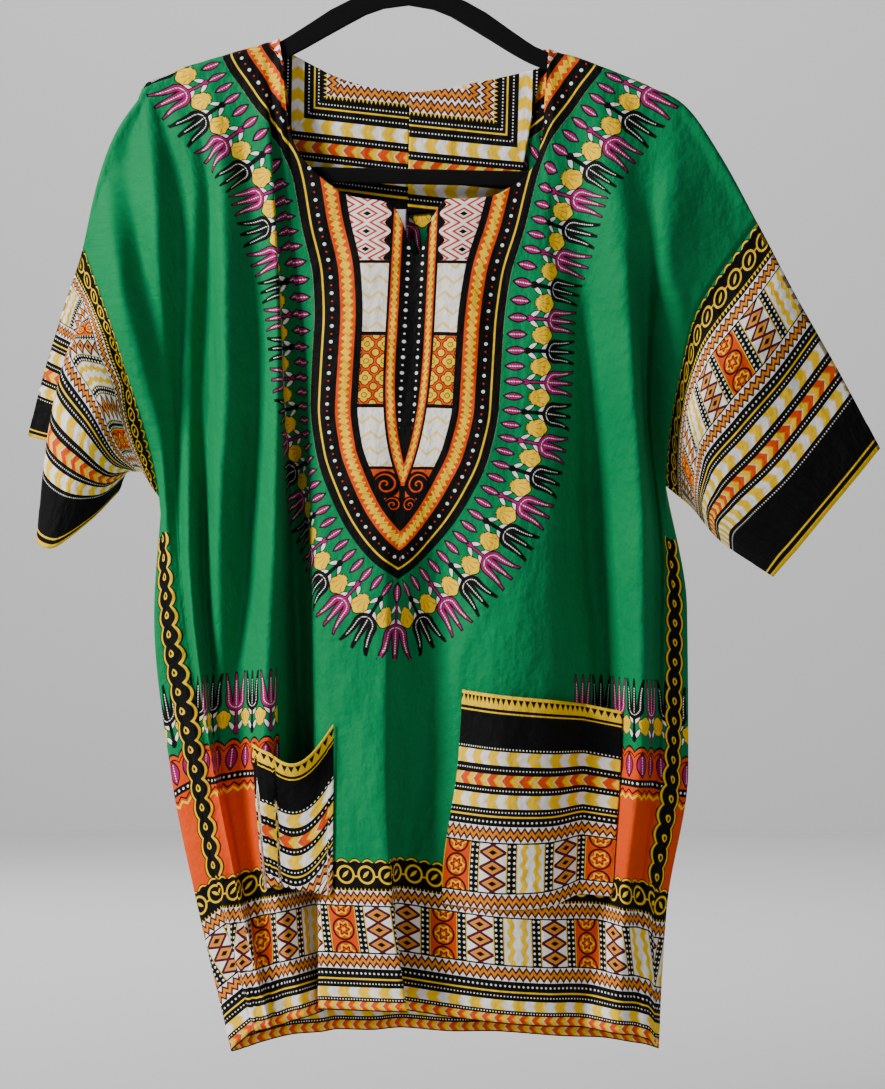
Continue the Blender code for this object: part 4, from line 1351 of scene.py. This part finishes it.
@dataclass
class Shirt:
    """The sewn pieces of the shirt, from its fold tables."""

    front_columns: int = 216
    back_columns: int = 168
    rows: int = 200
    sleeve_around: int = 72
    sleeve_along: int = 60
    front: Panel = field(init=False)
    back: Panel = field(init=False)

    def __post_init__(self) -> None:
        """Make the two panels that everything else is taken from."""
        self.front = Panel(FRONT, 1, FRONT_CREASES)
        self.back = Panel(BACK, -1, BACK_CREASES)

    def panel_rows(self) -> np.ndarray:
        """Shares of the length for the mesh rows, closer together at the top edge."""
        even = np.linspace(0, 1, self.rows)
        return even**1.12

    def cut_map(self, panel: Panel, grid: np.ndarray, columns: np.ndarray, rows: np.ndarray) -> np.ndarray:
        """Where each point lies on the flat cut: across from the centre line, down, and up from the hem.

        Args:
            panel: The panel.
            grid: Its points.
            columns: Its fold numbers.
            rows: Its shares of the length.

        Returns:
            A grid of three values in millimetres.
        """
        run = arc_lengths(grid * (1, 0, 1), 1)
        middle = np.stack([np.interp(panel.middle, columns, line) for line in run])
        u = run - middle[:, None]
        start = np.maximum(grid[0, :, 1] - SHOULDER_DROP, 0)
        v = start[None, :] + (LENGTH - start[None, :]) * rows[:, None]
        return np.stack([u, v, LENGTH - v], axis=-1)

    def neck_map(self, cut: np.ndarray,
                 outline: Sequence[tuple[float, float]]) -> tuple[np.ndarray, np.ndarray]:
        """Where each point lies by the printed yoke: along its outline from the tip, and out from it.

        Args:
            cut: The panel's cut map.
            outline: The right half of the outline, from the shoulder to the tip.

        Returns:
            A grid of the run along the outline, the distance outside it and the distance from the side
            edge, and a grid of the run along the chain of sprigs round it.
        """
        knots = np.array(outline[::-1], float)
        steps = np.concatenate([[0], np.cumsum(np.linalg.norm(np.diff(knots, axis=0), axis=1))])
        line = smooth_curve(steps, knots, np.linspace(0, steps[-1], 160))
        legs = np.gradient(line, axis=0)
        away = unit(np.column_stack([-legs[:, 1], legs[:, 0]]))
        turns = np.linspace(0, math.atan2(away[0, 0], away[0, 1]), 16, endpoint=False)
        fan = line[0] + CHAIN_OUT * np.column_stack([np.sin(turns), np.cos(turns)])
        chain = np.concatenate([fan, line + CHAIN_OUT * away])
        flat = np.stack([np.abs(cut[..., 0]), cut[..., 1]], axis=-1).reshape(-1, 2)
        run, out = self.nearest(flat, line)
        mirrored = chain[24:0:-1] * (-1, 1)
        chain = self.evened(np.concatenate([mirrored, chain]))
        chain_run, _ = self.nearest(flat, chain)
        chain_run = np.maximum(chain_run - arc_lengths(chain[:25, None], 0)[-1, 0], 0)
        side = np.minimum(cut[..., 0] - cut[:, :1, 0], cut[:, -1:, 0] - cut[..., 0])
        sign = np.sign(cut[..., 0] + 1e-9)
        shape = cut.shape[:2]
        neck = np.stack([run.reshape(shape) * sign, out.reshape(shape), side], axis=-1)
        return neck, np.stack([chain_run.reshape(shape) * sign, side * 0, side * 0], axis=-1)

    def evened(self, line: np.ndarray) -> np.ndarray:
        """A line with its tight turns eased, and its ends kept.

        Args:
            line: Its points.

        Returns:
            The eased points.
        """
        for _ in range(60):
            middle = (line[:-2] + line[2:]) / 2
            line = np.concatenate([line[:1], 0.5 * line[1:-1] + 0.5 * middle, line[-1:]])
        return line

    def nearest(self, flat: np.ndarray, line: np.ndarray) -> tuple[np.ndarray, np.ndarray]:
        """How far along a line each point's nearest spot is, and how far outside the line the point is.

        Args:
            flat: Places on the cut.
            line: The line's points.

        Returns:
            The run along the line, and the distance outside it.
        """
        fine = arc_lengths(line[:, None], 0)[:, 0]
        best = np.full(len(flat), 1e9)
        run = np.zeros(len(flat))
        sign = np.zeros(len(flat))
        for k in range(len(line) - 1):
            leg = line[k + 1] - line[k]
            share = np.clip(((flat - line[k]) @ leg) / (leg @ leg), 0, 1)
            gap = flat - line[k] - share[:, None] * leg
            size = np.linalg.norm(gap, axis=1)
            closer = size < best
            best = np.where(closer, size, best)
            run = np.where(closer, fine[k] + share * (fine[k + 1] - fine[k]), run)
            sign = np.where(closer, np.sign(leg[1] * gap[:, 0] - leg[0] * gap[:, 1]), sign)
        return run, -best * sign

    def build_panel(self, name: str, panel: Panel, count: int,
                    outline: Sequence[tuple[float, float]]) -> Cloth:
        """A front or back panel as a shell with its print's coordinates.

        Args:
            name: The piece's name.
            panel: Its fold lines.
            count: The mesh's columns.
            outline: The yoke's outline on it.

        Returns:
            The cloth.
        """
        columns = np.linspace(0, panel.last, count)
        rows = self.panel_rows()
        grid = panel.points(columns, rows)
        cut = self.cut_map(panel, grid, columns, rows)
        neck, chain = self.neck_map(cut, outline)
        maps = {"cut": cut, "neck": neck, "chain": chain}
        thick = turned_hem(cut[..., 2], 22)
        return Cloth(name, panel.creased(grid), maps, faces_back=panel.side < 0, wall=HEM_WALL, thick=thick)

    def armhole(self, panel: Panel, column: float, count: int) -> tuple[np.ndarray, np.ndarray]:
        """A panel's edge from the shoulder to the underarm, and where its cloth runs on to.

        Args:
            panel: The panel.
            column: The edge's fold number.
            count: How many points.

        Returns:
            The edge's points, and unit vectors outward from them.
        """
        rows = np.linspace(0, UNDERARM, count)
        inside = column + 0.25 if column == 0 else column - 0.25
        edge, inner = (panel.points([c], rows)[:, 0] for c in (column, inside))
        return edge, unit(edge - inner)

    def half_ring(self, ring: Ring, shares: np.ndarray, side: int) -> np.ndarray:
        """The front or back half of a sleeve's section.

        Args:
            ring: The section.
            shares: Where it is read, from the top fold to the underarm.
            side: 1 for the front half, -1 for the back.

        Returns:
            Its points.
        """
        if side > 0:
            knots, path = np.linspace(0, 1, len(ring.front)), ring.front
        else:
            knots, path = (0, 0.34, 0.68, 1), (ring.front[0], ring.back[1], ring.back[0], ring.front[-1])
        row = smooth_curve(knots, path, shares)
        row[:, 2] += side * SEAM_HALF
        return row

    def build_sleeve(self, name: str, at_left: bool, rings: Sequence[Ring]) -> Cloth:
        """A sleeve as a closed shell from the armhole to the cuff.

        Args:
            name: The piece's name.
            at_left: Whether it is the left sleeve.
            rings: Its sections.

        Returns:
            The cloth.
        """
        count = self.sleeve_around
        halves = []
        for panel, side in ((self.front, 1), (self.back, -1)):
            edge, leave = self.armhole(panel, 0 if at_left else panel.last, count)
            run = arc_lengths(edge, 0)
            shares = run / run[-1]
            rows = [self.half_ring(ring, shares, side) for ring in rings]
            blend = np.clip((shares - 0.55) / 0.3, 0, 1)[:, None]
            leave[:, 2] *= np.clip(shares / 0.15, 0, 1)
            lead = unit((1 - blend) * unit(leave) + blend * unit(rows[0] - edge))
            halves.append(np.stack([edge, edge + 5.0 * lead] + rows))
        loop = np.concatenate([halves[0], halves[1][:, ::-1]], axis=1)
        knots = [0.0, 5.0 / SLEEVE_LENGTH] + [ring.share for ring in rings]
        wanted = np.linspace(0, 1, self.sleeve_along)
        grid = smooth_curve(knots, loop.reshape(len(knots), -1), wanted).reshape(len(wanted), -1, 3)
        around = np.linspace(-SLEEVE_AROUND, SLEEVE_AROUND, grid.shape[1])
        along = np.broadcast_to(wanted[:, None] * SLEEVE_LENGTH, grid.shape[:2])
        around = np.broadcast_to(around, along.shape)
        maps = {"cut": np.stack([around, along, SLEEVE_LENGTH - along], axis=-1)}
        closed = np.concatenate([grid, grid[:, :1]], axis=1)
        maps = {key: np.concatenate([grid_map, grid_map[:, -1:]], axis=1) for key, grid_map in maps.items()}
        thick = turned_hem(maps["cut"][..., 2], 20)
        return Cloth(name, closed, maps, closed=True, faces_back=at_left, wall=HEM_WALL, thick=thick)


@dataclass
class Pocket:
    """A patch pocket as a stretch of the front, between two fold numbers and shares of its length."""

    name: str
    left: float
    right: float
    top_left: float
    top_right: float
    foot: float
    gape: float
    sag: float
    span_from: float
    span_to: float
    columns: int = 70
    rows: int = 72

    def build(self, front: Panel) -> Cloth:
        """The pocket's shell, moved out from the front it lies on."""
        numbers = np.linspace(self.left, self.right, self.columns)
        across = np.linspace(0, 1, self.columns)
        down = np.linspace(0, 1, self.rows)
        ends = front.points(numbers, np.array([0.0, 1.0]))[..., 1]
        corners = ends[0] + (ends[1] - ends[0]) * (self.top_left + (self.top_right - self.top_left) * across)
        mouth = corners[0] + (corners[-1] - corners[0]) * across
        top = (mouth - ends[0]) / (ends[1] - ends[0])
        points = np.empty((self.rows, self.columns, 3))
        for k, number in enumerate(numbers):
            rows = top[k] + (self.foot - top[k]) * down
            near = front.creased(front.points([number - 0.05, number, number + 0.05], rows), 0.0)
            points[:, k] = near[:, 1] + outward(near, 1)[:, 1] * 1.5
        span = np.flatnonzero((numbers >= self.span_from) & (numbers <= self.span_to))
        share = np.linspace(0, 1, len(span))[None, :, None]
        points[:, span] = points[:, span[:1]] * (1 - share) + points[:, span[-1:]] * share
        ahead = numbers >= self.span_from - 0.5
        if len(span) > 30:
            crest = self.crest_before(front, points[:, ahead])
            points[:, ahead, 2] = np.maximum(points[:, ahead, 2], crest + 2.0)
        belly = np.sin(math.pi * across)[None, :] * np.clip(1 - down[:, None] / 0.62, 0, 1) ** 1.5
        points[..., 2] += self.gape * belly
        points[..., 1] += self.sag * belly
        run = np.broadcast_to(arc_lengths(points, 1)[-1], points.shape[:2])
        height = arc_lengths(points[::-1], 0)[::-1]
        depth = height[:1] - height
        whole = height[:1] > POCKET_DEPTH * 0.87
        depth = np.where(whole, depth * POCKET_DEPTH / height[:1], depth)
        cut = np.stack([run - run[:, -1:] / 2, depth, height], axis=-1)
        thick = turned_hem(depth, 18)
        return Cloth(self.name, points, {"cut": cut}, wall=HEM_WALL, thick=thick)

    def crest_before(self, front: Panel, points: np.ndarray) -> np.ndarray:
        """How far forward the front reaches around each point.

        Args:
            front: The front panel.
            points: The pocket's points.

        Returns:
            The greatest forward place of the front near each.
        """
        near = front.points(np.arange(8.0, 13.6, 0.25), np.linspace(DOWN[3], 1, 60)).reshape(-1, 3)
        apart = np.abs(points[:, :, None, 0] - near[:, 0]) / 5
        apart = apart + np.abs(points[:, :, None, 1] - near[:, 1]) / 9
        return np.where(apart < 1, near[:, 2], -99.0).max(axis=-1)


LEFT_POCKET = Pocket("pocket_left", 8.5, 12.5, 0.715, 0.66, 0.864, 12.0, 22.0, 9.0, 12.5)
RIGHT_POCKET = Pocket("pocket_right", 17.0, 21.5, 0.6, 0.672, 0.862, 7.0, 0.0, 20.0, 21.5)


@dataclass
class Neck:
    """The back neck's facing in two halves, and the bare tag under it."""

    back: Panel
    off: float = 1.4
    mismatch: float = 5.5
    lean: float = 0.1
    tag_width: float = 10.0
    tag_length: float = 17.0
    tag_across: float = -8.0

    def facing(self, name: str, first: float, last: float) -> Cloth:
        """One half of the facing, from the back's own points.

        Args:
            name: The piece's name.
            first: The first fold number.
            last: The last fold number.

        Returns:
            The cloth.
        """
        columns = np.linspace(first, last, 60)
        rows = np.linspace(0, DOWN[1], 60)
        grid = self.back.points(columns, rows)
        run = arc_lengths(grid, 1)
        grid = grid + outward(grid, 1) * self.off
        side = 1 if first >= FACING_FOLDS[1] else -1
        across = run if side > 0 else run[:, -1:] - run
        run_down = arc_lengths(grid, 0)
        corner = self.back.points([FACING_FOLDS[0]], [0.0])[0, 0]
        level = grid[:1, :, 1] - corner[1] - self.lean * (grid[:1, :, 0] - corner[0])
        depth = run_down + level - self.mismatch * (side > 0)
        cut = np.stack([across * side, depth, run_down[-1:] - run_down], axis=-1)
        return Cloth(name, grid, {"cut": cut}, wall=CLOTH)

    def tag(self) -> Cloth:
        """The bare tag."""
        rows = np.array([DOWN[1] - 0.004, DOWN[1] + 0.02])
        spot = self.back.points([7.6, 7.7, 7.8], rows)[0, 1]
        across = self.tag_across + np.linspace(-0.5, 0.5, 8) * self.tag_width
        down = np.linspace(0, 1, 12)
        sheet = np.empty((12, 8, 3))
        sheet[..., 0] = across[None, :]
        sheet[..., 1] = spot[1] + down[:, None] * self.tag_length
        sheet[..., 2] = spot[2] + 3.6 + 0.5 * np.sin(down * 2.6)[:, None]
        cut = np.stack([sheet[..., 0] - self.tag_across, sheet[..., 1] - spot[1], sheet[..., 1] * 0], axis=-1)
        return Cloth("neck_tag", sheet, {"cut": cut}, wall=TAPE_WALL)


@dataclass
class Studio:
    """The camera, the pale floor and wall, and the soft lights."""

    middle_across: float = 25.7
    middle_drop: float = 509.7
    view_height: float = 0.8603
    distance: float = 3.2
    floor_drop: float = 1.02
    wall_behind: float = 4.0

    def camera(self) -> None:
        """A long lens straight at the shirt, as the photograph's."""
        data = bpy.data.cameras.new("camera")
        data.sensor_fit = "VERTICAL"
        data.sensor_height = 24.0
        data.lens = data.sensor_height * self.distance / self.view_height
        eye = add_object("camera", data)
        eye.location = (self.middle_across * MM, -self.distance, -self.middle_drop * MM)
        eye.rotation_euler = (math.radians(90), 0, 0)
        bpy.context.scene.camera = eye

    def plain(self, name: str, size: float, place_at: tuple[float, float, float], upright: bool) -> None:
        """A plain pale surface.

        Args:
            name: Its name.
            size: Half its side, in metres.
            place_at: Its middle.
            upright: Whether it stands up.
        """
        mesh = bmesh.new()
        bmesh.ops.create_grid(mesh, x_segments=1, y_segments=1, size=size)
        if upright:
            turn = np.array(((1, 0, 0), (0, 0, -1), (0, 1, 0)))
            for vert in mesh.verts:
                vert.co = turn @ np.array(vert.co)
        for vert in mesh.verts:
            vert.co = np.array(vert.co) + np.array(place_at)
        data = bpy.data.meshes.new(name)
        mesh.to_mesh(data)
        mesh.free()
        paint = Recipe(f"{name}_paint", 0.85)
        data.materials.append(paint.finish(PALE))
        add_object(name, data)

    def lamp(self, name: str, power: float, size: float, at: tuple[float, float, float],
             to: tuple[float, float, float] = (0.0, 0.0, -0.5)) -> None:
        """A soft square light that faces the shirt's middle, or another point.

        Args:
            name: Its name.
            power: Its power in watts.
            size: Its side, in metres.
            at: Where it is.
            to: What it faces.
        """
        data = bpy.data.lights.new(name, "AREA")
        data.energy = power
        data.size = size
        light = add_object(name, data)
        light.location = at
        aim = np.array(to) - np.array(at)
        aim = aim / np.linalg.norm(aim)
        pitch = math.acos(-aim[2])
        light.rotation_euler = (pitch, 0, math.atan2(aim[1], aim[0]) - math.pi / 2)

    def build(self) -> None:
        """Set the whole studio up."""
        self.camera()
        self.plain("floor", 9.0, (0, 0, -self.floor_drop), False)
        self.plain("wall", 9.0, (0, self.wall_behind, 0), True)
        self.lamp("key", 126.0, 0.8, (-2.2, -1.3, 0.9))
        self.lamp("fill", 9.0, 2.0, (1.8, -2.4, -0.2))
        self.lamp("back", 26.0, 1.5, (-1.2, 2.6, 0.7))
        self.lamp("backdrop", 90.0, 3.0, (0.0, 2.0, 1.8), (0.0, 4.0, -0.4))
        world = bpy.data.worlds.new("studio")
        world.use_nodes = True
        world.node_tree.nodes["Background"].inputs[0].default_value = (0.8, 0.85, 0.95, 1)
        world.node_tree.nodes["Background"].inputs[1].default_value = 0.16
        bpy.context.scene.world = world


def main() -> None:
    """Build the shirt, dress the hanger and set the studio up."""
    logging.basicConfig(level=logging.INFO)
    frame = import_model()
    shirt = Shirt()
    cotton = Prints()
    inks = [cotton.upper("upper_print"), cotton.lower("lower_print")]
    front = shirt.build_panel("shirt_front", shirt.front, shirt.front_columns, YOKE).build(*inks)
    dress(front, "printed_cotton", "front")
    back = shirt.build_panel("shirt_back", shirt.back, shirt.back_columns, BACK_YOKE).build(*inks)
    dress(back, "printed_cotton", "back")
    sleeves = (
        ("sleeve_left", True, LEFT_SLEEVE, 0.15, 0.040),
        ("sleeve_right", False, RIGHT_SLEEVE, 0.2, 0.068),
    )
    border, patches, lining = cotton.sleeve(), cotton.pocket(), cotton.facing()
    for name, at_left, rings, length, area in sleeves:
        sleeve = shirt.build_sleeve(f"shirt_{name}", at_left, rings).build(border)
        dress(sleeve, "border_print", name)
    for pocket in (LEFT_POCKET, RIGHT_POCKET):
        patch = pocket.build(shirt.front)
        patch.name = f"shirt_{pocket.name}"
        piece = patch.build(patches)
        dress(piece, "pocket_print", pocket.name)
        patch.flat()
    neck = Neck(shirt.back)
    halves = (("neck_facing_left", *FACING_FOLDS[:2]), ("neck_facing_right", *FACING_FOLDS[1:]))
    for name, first, last in halves:
        half = neck.facing(name, first, last)
        half.name = f"shirt_{name}"
        piece = half.build(lining)
        dress(piece, "facing_print", name)
        half.flat()
    tag = neck.tag()
    tag.name = "shirt_neck_tag"
    piece = tag.build(cotton.tape())
    dress(piece, "tag_cloth", "neck_tag")
    dress_hanger(frame)
    Studio().build()


if __name__ == "__main__":
    main()
